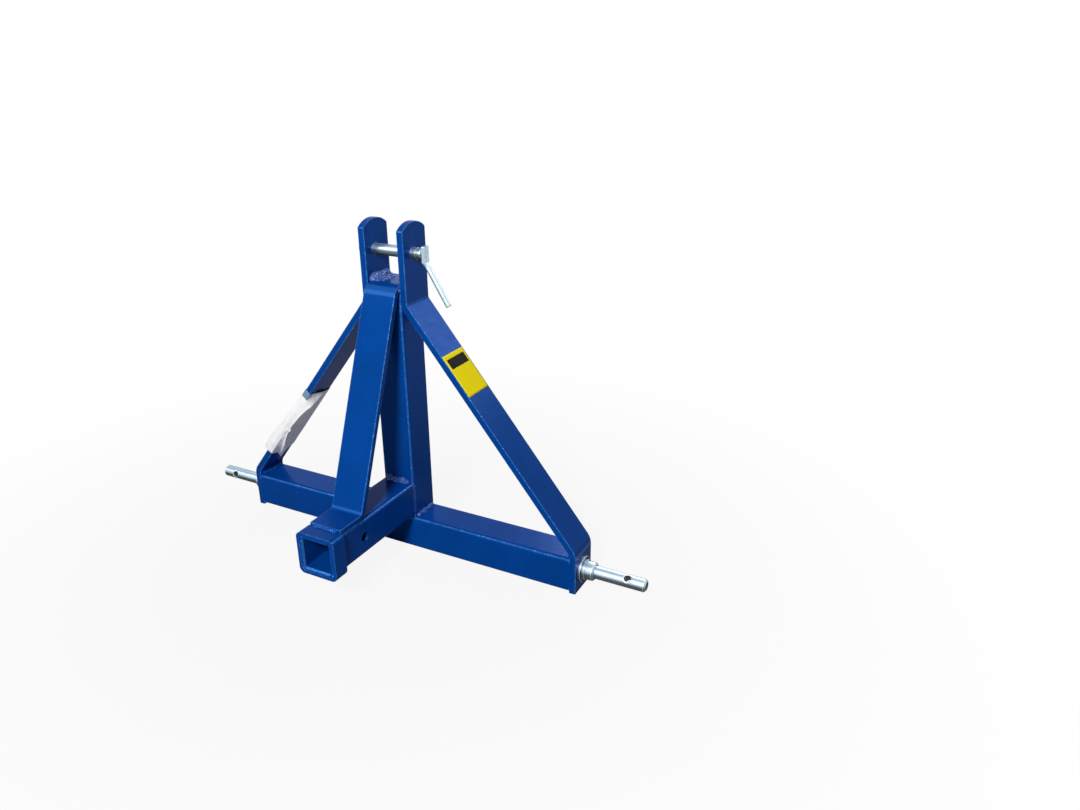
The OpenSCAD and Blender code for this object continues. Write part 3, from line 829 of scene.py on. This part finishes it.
def add_bead(bm, bead, seed):
    """Lays one bead into a mesh: an extruded section whose rings are swelled by the ripples."""
    along = bead.end - bead.start
    length = along.length
    steps = max(FEWEST_STEPS, round(length / BEAD_STEP))
    turns = [bead.sweep * i / (RING_POINTS - 1) for i in range(RING_POINTS)]
    root = bm.verts.new(bead.start)
    ring = [bm.verts.new(bead.start + section_point(bead, t)) for t in turns]
    loop = [root] + ring
    edges = [bm.edges.new((loop[i], loop[(i + 1) % len(loop)])) for i in range(len(loop))]
    rings = [loop]
    for _ in range(steps):
        made = bmesh.ops.extrude_edge_only(bm, edges=edges)["geom"]
        edges = [e for e in made if isinstance(e, bmesh.types.BMEdge)]
        verts = [v for v in made if isinstance(v, bmesh.types.BMVert)]
        bmesh.ops.translate(bm, verts=verts, vec=along / steps)
        rings.append(verts)
    reach = max(bead.first.length, bead.second.length)
    line = along.normalized()
    for vert in (v for verts in rings for v in verts):
        offset = vert.co - bead.start
        distance = offset.dot(line)
        spoke = offset - line * distance
        if spoke.length < MERGE:
            continue
        share = bead_turn(bead, spoke) / bead.sweep
        near_end = min(distance, length - distance, reach) / reach
        swell = math.sqrt(max(0.0, 1 - (1 - near_end) ** 2))
        swell *= 1 + ripple(distance, share, seed) + lump(vert.co)
        vert.co = bead.start + line * distance + spoke * swell


def bead_turn(bead, spoke):
    """Turn of a section's spoke from the first direction."""
    a = spoke.dot(bead.first) / bead.first.length_squared
    b = spoke.dot(bead.second) / bead.second.length_squared
    return min(max(math.atan2(b, a), 0.0), bead.sweep)


def lay_beads(node, beads, thin=0.3, material="weld"):
    """All beads of one joint as one piece, in place of the CAD node.

    thin is how much of the material's colour for thin paint and painted sheen they show.
    """
    bm = bmesh.new()
    for seed, bead in enumerate(beads, len(node)):
        add_bead(bm, bead, seed)
        spatter(bm, bead, seed)
    bmesh.ops.remove_doubles(bm, verts=bm.verts, dist=10 * MERGE)
    bmesh.ops.recalc_face_normals(bm, faces=bm.faces)
    layer = bm.loops.layers.float_color.new("edge")
    for face in bm.faces:
        paint_face(face, layer, thin)
    return finished(bm, node + "_beads", material, "frame", (node,), weighted=False)


def mirrored(beads):
    """The beads and their mirror images on the other side of the hitch."""
    flip = Matrix.Diagonal((-1, 1, 1))
    result = list(beads)
    for b in beads:
        result.append(Bead(flip @ b.start, flip @ b.end, flip @ b.first, flip @ b.second, b.half_turn))
    return result


def box(node):
    """Low and high corner of a CAD node as vectors."""
    low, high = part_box(node)
    return Vector(low), Vector(high)


def seam(start, end, width_way, out_way, sink=0.6, height=1.0):
    """A flush bead, half as wide on each side of its line.

    sink is how far below the line it starts, in millimetres, and height a share of the usual
    height.
    """
    look = settings("welds")
    middle = -Vector(out_way) * sink * MM
    return Bead(
        Vector(start) + middle, Vector(end) + middle, Vector(width_way) * look.seam_width / 2,
        Vector(out_way) * (look.seam_height * height + sink * MM), half_turn=True)


def end_beads():
    """Beads between the crossbar's ends and the arms."""
    leg = settings("welds").leg
    low, high = box("crossbar")
    inset = 6.5 * MM
    bottom, top = low.z + inset, high.z - inset
    return mirrored([
        Bead((high.x, low.y + inset, high.z), (high.x, high.y - inset, high.z), -X * leg, Z * leg),
        seam((high.x, low.y, bottom), (high.x, low.y, top), X, -Y, height=0.3),
        seam((high.x, high.y, bottom), (high.x, high.y, top), X, Y, height=0.8),
    ])


def post_beads():
    """Beads around the foot of the post."""
    leg = settings("welds").leg
    low, high = box("mast_post")
    inset = 6 * MM
    drop = 3 * MM
    left, right, foot = low.x + inset, high.x - inset, low.z - drop
    return mirrored([
        Bead((high.x, low.y + inset, low.z), (high.x, high.y - inset, low.z), X * leg, Z * leg),
    ]) + [
        seam((left, low.y, foot), (right, low.y, foot), Z, -Y),
        seam((left, high.y, foot), (right, high.y, foot), Z, Y, height=0.8),
    ]


def receiver_beads():
    """Beads between the receiver tube and the post."""
    look = settings("welds")
    low, high = box("receiver_tube")
    inset = 6 * MM
    side_inset = 4 * MM
    left, right = low.x + inset, high.x - inset
    bottom, top = low.z + side_inset, high.z - side_inset
    back = high.y + 3 * MM
    upper, lower = look.heavy_leg, look.leg
    # The bead below is this share of the usual fillet
    small = 0.7
    return [
        Bead((left, high.y, high.z), (right, high.y, high.z), -Y * upper, Z * upper),
        Bead((left, high.y, low.z), (right, high.y, low.z), -Y * lower * small, -Z * lower * small),
    ] + mirrored([
        seam((high.x, back, bottom), (high.x, back, top), Y, X, height=0.6),
    ])


def brace_foot_beads():
    """Beads around the brace's foot, on the receiver behind the collar."""
    receiver = box("receiver_tube")
    collar = box("receiver_collar")
    brace = box("brace_bar")
    step = 4 * MM
    inset = 6 * MM
    foot_length = 46 * MM
    left, right = brace[0].x + inset, brace[1].x - inset
    front, top = collar[1].y, collar[1].z
    back = front + foot_length
    side, line = receiver[1].x - MM, receiver[1].z - 2 * MM
    return [
        Bead((left, front, top), (right, front, top), -Y * step, Z * step),
    ] + mirrored([
        seam((side, front, line), (side, back, line), Z, X, sink=1.5),
    ])


# Legs of the fillets at the ears and of the tacks beside the brace, in millimetres
EAR_FILLET = 10
TACK = 3.2
# Rough masses on the seat, in millimetres: distance from the left ear at the front and at the
# back, insets at the front and at the back, half width and height
MASSES = (
    (11, 11, 3, 4, 7, 5),
    (19, 17, 8, 9, 6, 3.2),
)


def brace_top_beads():
    """Rough mass between the seat and the ears, tacks beside the brace, and the seam behind."""
    brace = box("brace_bar")
    post = box("mast_post")
    seat = brace[1].z
    front, back = post[0].y + 5 * MM, post[1].y - 3 * MM
    ear = post[1].x
    near = seat - MM
    tack_bottom, tack_top = seat - 12 * MM, seat - 5 * MM
    left, right = brace[0].x + 7 * MM, brace[1].x - 7 * MM
    behind, above = post[1].y - MM, post[1].z + MM
    beads = mirrored([
        Bead((ear, front, seat), (ear, back, seat), -X * EAR_FILLET * MM, Z * EAR_FILLET * MM),
        Bead((brace[1].x, post[0].y, tack_bottom), (brace[1].x, post[0].y, tack_top),
             X * TACK * MM, -Y * TACK * MM),
    ])
    for at_front, at_back, inset_front, inset_back, half, height in MASSES:
        beads.append(Bead(
            (at_front * MM - ear, front + inset_front * MM, near),
            (at_back * MM - ear, back - inset_back * MM, near),
            X * half * MM, Z * height * MM, half_turn=True))
    beads.append(seam((left, behind, above), (right, behind, above), Z, Y, sink=2.0))
    return beads


def ear_beads():
    """Upright beads between the post's corners and the ears."""
    post = box("mast_post")
    length = 27 * MM
    foot, top = box("brace_bar")[1].z - length, post[1].z
    middle = post[1].x - 3 * MM
    front, back = post[0].y + MM, post[1].y - MM
    return mirrored([
        seam((middle, front, foot), (middle, front, top), X, -Y, sink=1.6, height=0.5),
        seam((middle, back, foot), (middle, back, top), X, Y, sink=1.6, height=0.5),
    ])


# Operators


def direction(azimuth, elevation):
    """Direction towards something at a turn around the hitch and a height, both as angles."""
    return Vector((math.sin(azimuth) * math.cos(elevation),
                   -math.cos(azimuth) * math.cos(elevation), math.sin(elevation)))


class HITCH_OT_stage(bpy.types.Operator):
    """Adds the camera, the lamps, the white surroundings and the floor"""

    bl_idname = "hitch.stage"
    bl_label = "Stage"

    # Name, azimuth and elevation in degrees, size in metres, and whether it lights dull faces or
    # shows in glossy ones only
    LAMPS = (
        ("key", 16, 37.5, 0.45, True),
        ("line", -47, 36, 1.0, False),
        ("sheen", 147, 31, 0.7, False),
        ("back", 185, 28, 1.0, True),
    )
    # Point that the lamps face, and their distance from it
    TARGET = Vector((0, 0, 0.25))
    DISTANCE = 2.6
    FLOOR_RADIUS = 12
    # Kind of ray, distances between which the floor fades to white for it, and its share of
    # white up to the first
    FADES = (
        ("Is Camera Ray", 0.3, 1.1, 0.9),
        ("Is Glossy Ray", 0.45, 1.5, 0.0),
    )

    def execute(self, context):
        look = settings("stage")
        context.scene.view_settings.view_transform = "Standard"
        self.camera(context, look)
        for name, azimuth, elevation, size, lights_all in self.LAMPS:
            way = direction(math.radians(azimuth), math.radians(elevation))
            self.lamp(context, name + " lamp", way, size, getattr(look, name + "_power"), lights_all)
        self.surroundings(context, look)
        self.floor(context)
        return {"FINISHED"}

    def camera(self, context, look):
        """Camera at the photograph's place and angle."""
        data = bpy.data.cameras.new("camera")
        data.sensor_width = 36
        data.sensor_fit = "HORIZONTAL"
        data.lens = look.lens
        camera = bpy.data.objects.new("camera", data)
        context.scene.collection.objects.link(camera)
        back = direction(look.azimuth, look.elevation)
        right = Z.cross(back).normalized()
        up = back.cross(right)
        level = Matrix((right, up, back)).transposed()
        turned = level @ Matrix.Rotation(look.roll, 3, "Z")
        camera.matrix_world = Matrix.Translation(look.place) @ turned.to_4x4()
        context.scene.camera = camera

    def lamp(self, context, name, way, size, power, lights_all):
        """Square area lamp that faces the hitch."""
        data = bpy.data.lights.new(name, "AREA")
        data.size = size
        data.energy = power
        lamp = bpy.data.objects.new(name, data)
        context.scene.collection.objects.link(lamp)
        lamp.visible_diffuse = lights_all
        turn = way.to_track_quat("Z", "Y").to_matrix().to_4x4()
        lamp.matrix_world = Matrix.Translation(self.TARGET + way * self.DISTANCE) @ turn

    def surroundings(self, context, look):
        """World that looks white and gives soft light from all around."""
        world = bpy.data.worlds.new("white room")
        world.use_nodes = True
        context.scene.world = world
        tree = world.node_tree
        background = tree.nodes["Background"]
        rays = add(tree, "ShaderNodeLightPath")
        seen = math_node(tree, "MAXIMUM", rays.outputs["Is Camera Ray"], rays.outputs["Is Glossy Ray"])
        seen = math_node(tree, "MAXIMUM", seen, rays.outputs["Is Transmission Ray"])
        background.inputs["Color"].default_value = (1, 1, 1, 1)
        tree.links.new(ranged(tree, seen, look.ambient, 1.0), background.inputs["Strength"])

    def floor(self, context):
        """Round pale floor that keeps a soft shadow near the hitch and fades to white."""
        material, tree, shader = new_material(
            "pale_floor", (0.9, 0.9, 0.9), Base_Color=(0.4, 0.4, 0.4, 1), Roughness=0.9,
            Specular_IOR_Level=0.1)
        place = add(tree, "ShaderNodeTexCoord").outputs["Object"]
        distance = add(tree, "ShaderNodeVectorMath", operation="LENGTH")
        tree.links.new(place, distance.inputs[0])
        rays = add(tree, "ShaderNodeLightPath")
        seen = []
        for ray, near, far, low in self.FADES:
            fade = add(tree, "ShaderNodeMapRange", clamp=True,
                       From_Min=near, From_Max=far, To_Min=low, To_Max=1.0)
            tree.links.new(distance.outputs["Value"], fade.inputs["Value"])
            seen.append(math_node(tree, "MULTIPLY", rays.outputs[ray], fade.outputs["Result"]))
        glow = add(tree, "ShaderNodeEmission", Strength=1.0)
        blend = tree.nodes.new("ShaderNodeMixShader")
        tree.links.new(math_node(tree, "MAXIMUM", *seen), blend.inputs[0])
        tree.links.new(shader.outputs[0], blend.inputs[1])
        tree.links.new(glow.outputs[0], blend.inputs[2])
        tree.links.new(blend.outputs[0], tree.nodes["Material Output"].inputs["Surface"])
        bm = bmesh.new()
        bmesh.ops.create_circle(bm, cap_ends=True, segments=96, radius=self.FLOOR_RADIUS)
        mesh = bpy.data.meshes.new("floor")
        bm.to_mesh(mesh)
        bm.free()
        mesh.materials.append(material)
        ground = bpy.data.objects.new("floor", mesh)
        context.scene.collection.objects.link(ground)


class HITCH_OT_finishes(bpy.types.Operator):
    """Makes the enamel, zinc, vinyl and film, and puts zinc on the hidden nuts"""

    bl_idname = "hitch.finishes"
    bl_label = "Finishes"

    def execute(self, context):
        make_materials()
        for node in ("pin_nut_left", "pin_nut_right"):
            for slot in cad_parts[node].material_slots:
                slot.material = materials["pressed"]
        return {"FINISHED"}


class HITCH_OT_bars(bpy.types.Operator):
    """Rounds and paints the bent flat bars"""

    bl_idname = "hitch.bars"
    bl_label = "Flat bars"

    # What the bar's painted bend highlight needs: the axis of the bar's width, the strength of the painted
    # highlight on the bend, and the heights of the normal between which it lies
    BENDS = {
        "left_arm": (1, 0.7, 0.02, 0.22),
        "right_arm": (1, 0.7, 0.02, 0.22),
        "brace_bar": (0, 0.2, 0.3, 0.85),
    }

    def execute(self, context):
        for node, bend in self.BENDS.items():
            rounded_node(node, "paint", "frame", settings("edges").bar, bend=bend)
        return {"FINISHED"}


class HITCH_OT_tubes(bpy.types.Operator):
    """Rounds and paints the square tubes and the collar"""

    bl_idname = "hitch.tubes"
    bl_label = "Tubes"

    def execute(self, context):
        for node in ("crossbar", "mast_post", "receiver_tube", "receiver_collar"):
            # Painted highlight lines along the tubes' rolled corners
            rounded_node(node, "paint", "frame", settings("edges").tube, corner_highlight=0.8)
        return {"FINISHED"}


class HITCH_OT_welds(bpy.types.Operator):
    """Lays the rippled weld beads"""

    bl_idname = "hitch.welds"
    bl_label = "Weld beads"

    def execute(self, context):
        lay_beads("crossbar_end_welds", end_beads(), thin=0.0, material="paint")
        lay_beads("post_base_welds", post_beads())
        lay_beads("receiver_welds", receiver_beads())
        lay_beads("brace_foot_welds", brace_foot_beads(), material="paint")
        lay_beads("brace_top_welds", brace_top_beads(), thin=0.75)
        lay_beads("ear_welds", ear_beads())
        return {"FINISHED"}


class HITCH_OT_lower_pins(bpy.types.Operator):
    """Rounds and plates the lower hitch pins and their washers"""

    bl_idname = "hitch.lower_pins"
    bl_label = "Lower hitch pins"

    # Distance of the linch hole from the pin's tip, and its radius
    HOLE_BACK = 32 * MM
    HOLE_RADIUS = 6 * MM
    # Width and depth of its countersunk rim, and the size of the faces around it
    RIM = 1.3 * MM
    RIM_DEPTH = 0.9 * MM
    RIM_STEP = 0.5 * MM
    # Vertices less than MOUTH outside the hole are merged where they are closer than MOUTH_MERGE
    MOUTH = 0.3 * MM
    MOUTH_MERGE = 0.2 * MM
    # How far outside the hole's radius a vertex still counts as on its wall
    WALL_SLACK = 0.1 * MM
    # Turn of each pin's linch hole above level, in degrees
    TURNS = {"left": 11, "right": 58}

    def execute(self, context):
        radius = settings("edges").turned
        for side, sign in (("left", -1), ("right", 1)):
            self.pin("lower_pin_" + side, sign, radius, math.radians(self.TURNS[side]))
            rounded_node("pin_washer_" + side, "washer", "frame", radius)
            rounded_node("lock_washer_" + side, "washer", "frame", radius)
        return {"FINISHED"}

    def pin(self, node, sign, radius, turn):
        """One pin, whose linch hole has a wide rim with a painted highlight and walls with painted shade."""
        low, high = box(node)
        centre = (low + high) / 2
        centre.x = (high.x if sign > 0 else low.x) - sign * self.HOLE_BACK
        axis = Vector((0, -math.cos(turn), math.sin(turn)))
        reach = self.HOLE_RADIUS + self.RIM + MM
        bm = node_copy(node)
        round_edges(
            bm, radius, settings("edges").segments,
            skip=lambda point: abs(point.x - centre.x) < reach)
        cut_across(bm, Vector((low.x, centre.y, centre.z)), X, high.x - low.x, CUT_STEP)
        cut_across(bm, centre - X * reach, X, 2 * reach, self.RIM_STEP)
        mouth = self.HOLE_RADIUS + self.MOUTH
        close = [v for v in bm.verts if self.aside(v.co, centre, axis) < mouth]
        bmesh.ops.remove_doubles(bm, verts=close, dist=self.MOUTH_MERGE)
        self.sink_rim(bm, centre, axis)
        finished(bm, node + "_finish", ("turned", "bore"), "frame", replaced=(node,))

    def aside(self, point, centre, axis):
        """Distance of a point from the linch hole's middle line."""
        offset = point - centre
        return (offset - axis * offset.dot(axis)).length

    def nearness(self, point, centre, axis):
        """How near a point is to the hole's wall: 0 at the rim's outer line, 1 at the wall."""
        return 1 - (self.aside(point, centre, axis) - self.HOLE_RADIUS) / self.RIM

    def sink_rim(self, bm, centre, axis):
        """Countersinks the linch hole's two mouths, paints a highlight on them and puts painted shade on the
        wall.
        """
        layer = bm.loops.layers.float_color["edge"]
        wall = self.HOLE_RADIUS + self.WALL_SLACK
        for face in bm.faces:
            # The wall takes the painted shade material, the rim the painted highlight of the edge attribute
            inside = all(self.aside(v.co, centre, axis) < wall for v in face.verts)
            face.material_index = int(inside and abs(face.calc_center_median().x - centre.x) < wall)
            for loop in face.loops:
                if self.nearness(loop.vert.co, centre, axis) > 0 and not inside:
                    loop[layer] = (1.0, 1.0, 1.0, 1.0)
        for edge in bm.edges:
            if len({f.material_index for f in edge.link_faces}) > 1:
                edge.smooth = False
        for vert in bm.verts:
            near = self.nearness(vert.co, centre, axis)
            if near > 0:
                side = math.copysign(1, (vert.co - centre).dot(axis))
                vert.co -= axis * side * self.RIM_DEPTH * min(near, 1.0)


class HITCH_OT_top_pin(bpy.types.Operator):
    """Rounds and plates the top link pin, its handle and its rivet"""

    bl_idname = "hitch.top_pin"
    bl_label = "Top link pin"

    # Lean of the handle's rod away from the ear
    LEAN = math.radians(31)

    def execute(self, context):
        radius = settings("edges").turned
        low, high = box("top_link_pin")
        rounded_node("top_link_pin", "turned", "link_pin", radius,
                     stretch=(Vector((low.x, 0, 0)), X, high.x - low.x))
        rounded_node("handle_rivet", "pressed", "link_pin", radius)
        low, high = box("pin_handle")
        way = Vector((math.sin(self.LEAN), 0, -math.cos(self.LEAN)))
        rounded_node("pin_handle", "pressed", "handle", radius,
                     stretch=(Vector((low.x, 0, high.z)), way, (high.z - low.z) / math.cos(self.LEAN)))
        return {"FINISHED"}


class HITCH_OT_patches(bpy.types.Operator):
    """Sticks the plain yellow patches on the arms' outer faces"""

    bl_idname = "hitch.patches"
    bl_label = "Yellow patches"

    # Faces along and across the patch, and the radius of its corners
    GRID = 24
    CORNER_RADIUS = 1.2 * MM
    # Ends of the stripe along the patch from its middle, as shares of the length, and half its
    # width as a share of the patch's
    STRIPE = (-0.40, -0.17)
    STRIPE_HALF = 0.42
    # Gap between the paint and the patch
    LIFT = 0.02 * MM

    def execute(self, context):
        for side in ("left", "right"):
            self.patch(side)
        return {"FINISHED"}

    def patch(self, side):
        """One patch with round corners and a plain stripe across its upper part."""
        look = settings("patch")
        slope = Slope(side + "_arm")
        bm = bmesh.new()
        bmesh.ops.create_grid(bm, x_segments=self.GRID, y_segments=self.GRID, size=0.5)
        width = slope.width - 2 * look.margin
        bmesh.ops.scale(bm, vec=(look.length, width, 1), verts=bm.verts)
        corners = [v for v in bm.verts if len(v.link_faces) == 1]
        bmesh.ops.bevel(bm, geom=corners, offset=self.CORNER_RADIUS, segments=4, profile=0.5,
                        affect="VERTICES", material=-1)
        stripe = [share * look.length for share in self.STRIPE]
        half = self.STRIPE_HALF * width
        for place in stripe:
            cut(bm, X * place, X)
        for place in (-half, half):
            cut(bm, Y * place, Y)
        for face in bm.faces:
            centre = face.calc_center_median()
            inside = stripe[0] < centre.x < stripe[1] and abs(centre.y) < half
            face.material_index = 1 if inside else 0
        middle = slope.at(look.start + look.length / 2, slope.width / 2, self.LIFT)
        across = slope.out.cross(slope.down)
        place = Matrix((slope.down, across, slope.out)).transposed().to_4x4()
        bmesh.ops.transform(bm, matrix=Matrix.Translation(middle) @ place, verts=bm.verts)
        piece = finished(bm, side + "_patch", ("yellow", "dark"), "frame", weighted=False)
        sheet = piece.modifiers.new("vinyl", "SOLIDIFY")
        sheet.thickness = look.thickness
        sheet.offset = 1


def between(table, place):
    """Values of a table's row at a place between its rows; the first column is the place."""
    for first, second in zip(table, table[1:]):
        if place <= second[0]:
            share = (place - first[0]) / (second[0] - first[0])
            return [a + (b - a) * share for a, b in zip(first[1:], second[1:])]
    return list(table[-1][1:])


class HITCH_OT_sleeve(bpy.types.Operator):
    """Wraps the loose white film around the left arm"""

    bl_idname = "hitch.sleeve"
    bl_label = "Film sleeve"

    # Faces around and along the film
    ROUND = 150
    ALONG = 130
    # Thickness of the arm, gap between arm and film, and thickness of the film
    THICK = 12 * MM
    GAP = 0.6 * MM
    WALL = 0.3 * MM
    # Share of the length, then in millimetres: the fold's place across the arm, its height off the
    # inner face, and how far the film stands off the front edge and the outer face
    SLACK = (
        (0.00, 12, 2.0, 0.3, 0.2),
        (0.03, -12, 10.0, 0.4, 0.2),
        (0.09, -28, 12.0, 0.5, 0.2),
        (0.15, -32, 9.5, 0.8, 0.3),
        (0.24, -33, 6.5, 1.5, 0.5),
        (0.33, -33, 4.5, 2.0, 1.0),
        (0.42, -33, 3.0, 3.0, 1.5),
        (0.50, -32, 3.5, 4.0, 3.0),
        (0.60, -29, 6.0, 4.5, 5.5),
        (0.70, -24, 8.5, 5.0, 8.0),
        (0.86, -10, 7.0, 6.0, 10.0),
        (1.00, 4, 4.0, 4.0, 8.0),
    )
    # A short pleat across the inner face: its place along the arm, its half width, its height,
    # the places across the arm where it is highest and where it ends, and its lean
    PLEAT = (343, 3.0, 3.5, -30, 8, 0.15)
    # Share of the way around from the inner back edge, then the ends' distances below the ear's bend
    ENDS = (
        (0.00, 252, 428),
        (0.14, 250, 436),
        (0.26, 246, 453),
        (0.34, 242, 428),
        (0.42, 236, 421),
        (0.60, 236, 417),
        (0.80, 240, 420),
        (1.00, 252, 428),
    )
    # Share of the length down to which the film lies tight on the paint
    BAND = 0.095
    # Part of the way around that the tight band shows on
    FRONT = (0.4, 0.85)
    # Sizes of the long folds and of the crumples between them, along, across and off the arm
    FOLD_SIZE = (0.09, 0.016, 0.02)
    CRUMPLE_SIZE = (0.022, 0.018, 0.02)
    # Where in the noise the crumples start, the share of the folds, and what levels both
    CRUMPLE_SHIFT = 5
    FOLD_SHARE = 1.6
    CREASE_LEVEL = 0.5
    SMOOTHINGS = 3
    # The film's size before it was wrapped around the arm
    FLAT = (0.17, 0.195)

    def execute(self, context):
        look = settings("sleeve")
        slope = Slope("left_arm")
        bm = bmesh.new()
        bmesh.ops.create_grid(bm, x_segments=self.ALONG, y_segments=self.ROUND, size=0.5)
        tight = bm.verts.layers.float_color.new("tight")
        for vert in bm.verts:
            along, around = vert.co.x + 0.5, (vert.co.y + 0.5) % 1.0
            shade = 1.0 if along < self.BAND and self.FRONT[0] < around < self.FRONT[1] else 0.0
            vert[tight] = (shade, shade, shade, 1.0)
            vert.co = self.place(slope, look, along, around)
        bmesh.ops.remove_doubles(bm, verts=bm.verts, dist=MERGE)
        bmesh.ops.recalc_face_normals(bm, faces=bm.faces)
        self.face_outwards(bm, slope)
        for _ in range(self.SMOOTHINGS):
            bmesh.ops.smooth_vert(
                bm, verts=bm.verts, factor=0.5, use_axis_x=True, use_axis_y=True, use_axis_z=True)
        self.crease(bm, slope, look.wrinkle)
        self.clear_arm(bm, slope)
        piece = finished(bm, "film_sleeve", "film", "frame", ("arm_sleeve",), weighted=False)
        wall = piece.modifiers.new("film", "SOLIDIFY")
        wall.thickness = self.WALL
        wall.offset = 1
        return {"FINISHED"}

    def face_outwards(self, bm, slope):
        """Turns the open film's faces away from the arm."""
        middle = slope.at(0, slope.width / 2, -self.THICK / 2)
        total = 0.0
        for face in bm.faces:
            offset = face.calc_center_median() - middle
            total += face.normal.dot(offset - slope.down * offset.dot(slope.down))
        if total < 0:
            bmesh.ops.reverse_faces(bm, faces=bm.faces)

    def place(self, slope, look, along, around):
        """Point of the film by its share along the arm and around it, from the inner back edge."""
        half_w = slope.width / 2 + self.GAP
        half_t = self.THICK / 2 + self.GAP
        fold, height, front, outer = (v * MM for v in between(self.SLACK, along))
        height, front, outer = (v * look.slack for v in (height, front, outer))
        # Share of the way around, then distances across the arm and outwards from its middle
        section = (
            (0.00, half_w, -half_t),
            (0.15, fold + 0.35 * (half_w - fold), -half_t - 0.35 * height),
            (0.26, fold, -half_t - height),
            (0.42, -half_w - 0.5 * front, -half_t * 0.9),
            (0.48, -half_w - front, 0),
            (0.55, -half_w - 0.6 * front, half_t + 0.8 * outer),
            (0.70, -0.3 * half_w, half_t + outer),
            (0.84, 0.5 * half_w, half_t + 0.4 * outer),
            (0.94, half_w, half_t),
            (1.00, half_w, -half_t),
        )
        across, above = between(section, around)
        top, bottom = (v * MM for v in between(self.ENDS, around))
        distance = top + (bottom - top) * along
        if above < -half_t + MM:
            above -= look.slack * self.pleat(distance / MM, across / MM) * MM
        return slope.at(distance, slope.width / 2 + across, above - self.THICK / 2)

    def pleat(self, distance, across):
        """Height of the pleat at a place on the inner face, in millimetres."""
        middle, half, height, start, end, lean = self.PLEAT
        fade = min(max((end - across) / (end - start), 0.0), 1.0)
        slant = middle + lean * (across - start)
        return height * fade * math.exp(-((distance - slant) / half) ** 2)

    def crease(self, bm, slope, depth):
        """Pushes sharp creases into the film along its own normals."""
        bm.normal_update()
        moves = []
        for vert in bm.verts:
            offset = vert.co - slope.corner
            place = (offset.dot(slope.down), offset.y, offset.dot(slope.out))
            fold = [p / size for p, size in zip(place, self.FOLD_SIZE)]
            crumple = [p / size for p, size in zip(place, self.CRUMPLE_SIZE)]
            crumple[2] += self.CRUMPLE_SHIFT
            folds, crumples = abs(noise.noise(Vector(fold))), abs(noise.noise(Vector(crumple)))
            height = self.FOLD_SHARE * folds + crumples - self.CREASE_LEVEL
            moves.append(vert.normal * depth * height)
        for vert, move in zip(bm.verts, moves):
            vert.co += move

    def clear_arm(self, bm, slope):
        """Moves film that creased into the arm back outside it, and holds it close to the back edge."""
        half_w = slope.width / 2 + self.GAP / 2
        half_t = self.THICK / 2 + self.GAP / 2
        for vert in bm.verts:
            offset = vert.co - slope.corner
            across = offset.y - slope.width / 2
            above = offset.dot(slope.out) + self.THICK / 2
            if across > half_w + self.GAP:
                vert.co.y -= across - half_w - self.GAP
                across = half_w + self.GAP
            depth_w, depth_t = half_w - abs(across), half_t - abs(above)
            if depth_w <= 0 or depth_t <= 0:
                continue
            if depth_w < depth_t:
                vert.co.y += math.copysign(depth_w, across)
            else:
                vert.co += slope.out * math.copysign(depth_t, above)


OPERATORS = (
    HITCH_OT_stage,
    HITCH_OT_finishes,
    HITCH_OT_bars,
    HITCH_OT_tubes,
    HITCH_OT_welds,
    HITCH_OT_lower_pins,
    HITCH_OT_top_pin,
    HITCH_OT_patches,
    HITCH_OT_sleeve,
)


class HITCH_PT_panel(bpy.types.Panel):
    """Panel that lists the hitch's operators and settings"""

    bl_idname = "HITCH_PT_panel"
    bl_label = "Three-point hitch"
    bl_space_type = "VIEW_3D"
    bl_region_type = "UI"
    bl_category = "Hitch"

    def draw(self, context):
        for operator in OPERATORS:
            self.layout.operator(operator.bl_idname)
        for name, group in GROUPS.items():
            part = self.layout.box()
            for key in group.__annotations__:
                part.prop(getattr(context.scene, name), key)


CLASSES = (*GROUPS.values(), *OPERATORS, HITCH_PT_panel)


def register():
    """Registers the classes and puts the settings on the scene."""
    for cls in CLASSES:
        bpy.utils.register_class(cls)
    for name, group in GROUPS.items():
        setattr(bpy.types.Scene, name, PointerProperty(type=group))


def unregister():
    """Takes the settings and the classes away."""
    for name in GROUPS:
        delattr(bpy.types.Scene, name)
    for cls in reversed(CLASSES):
        bpy.utils.unregister_class(cls)


def main():
    """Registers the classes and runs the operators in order."""
    register()
    bpy.ops.hitch.stage()
    bpy.ops.hitch.finishes()
    bpy.ops.hitch.bars()
    bpy.ops.hitch.tubes()
    bpy.ops.hitch.welds()
    bpy.ops.hitch.lower_pins()
    bpy.ops.hitch.top_pin()
    bpy.ops.hitch.patches()
    bpy.ops.hitch.sleeve()


if __name__ == "__main__":
    main()
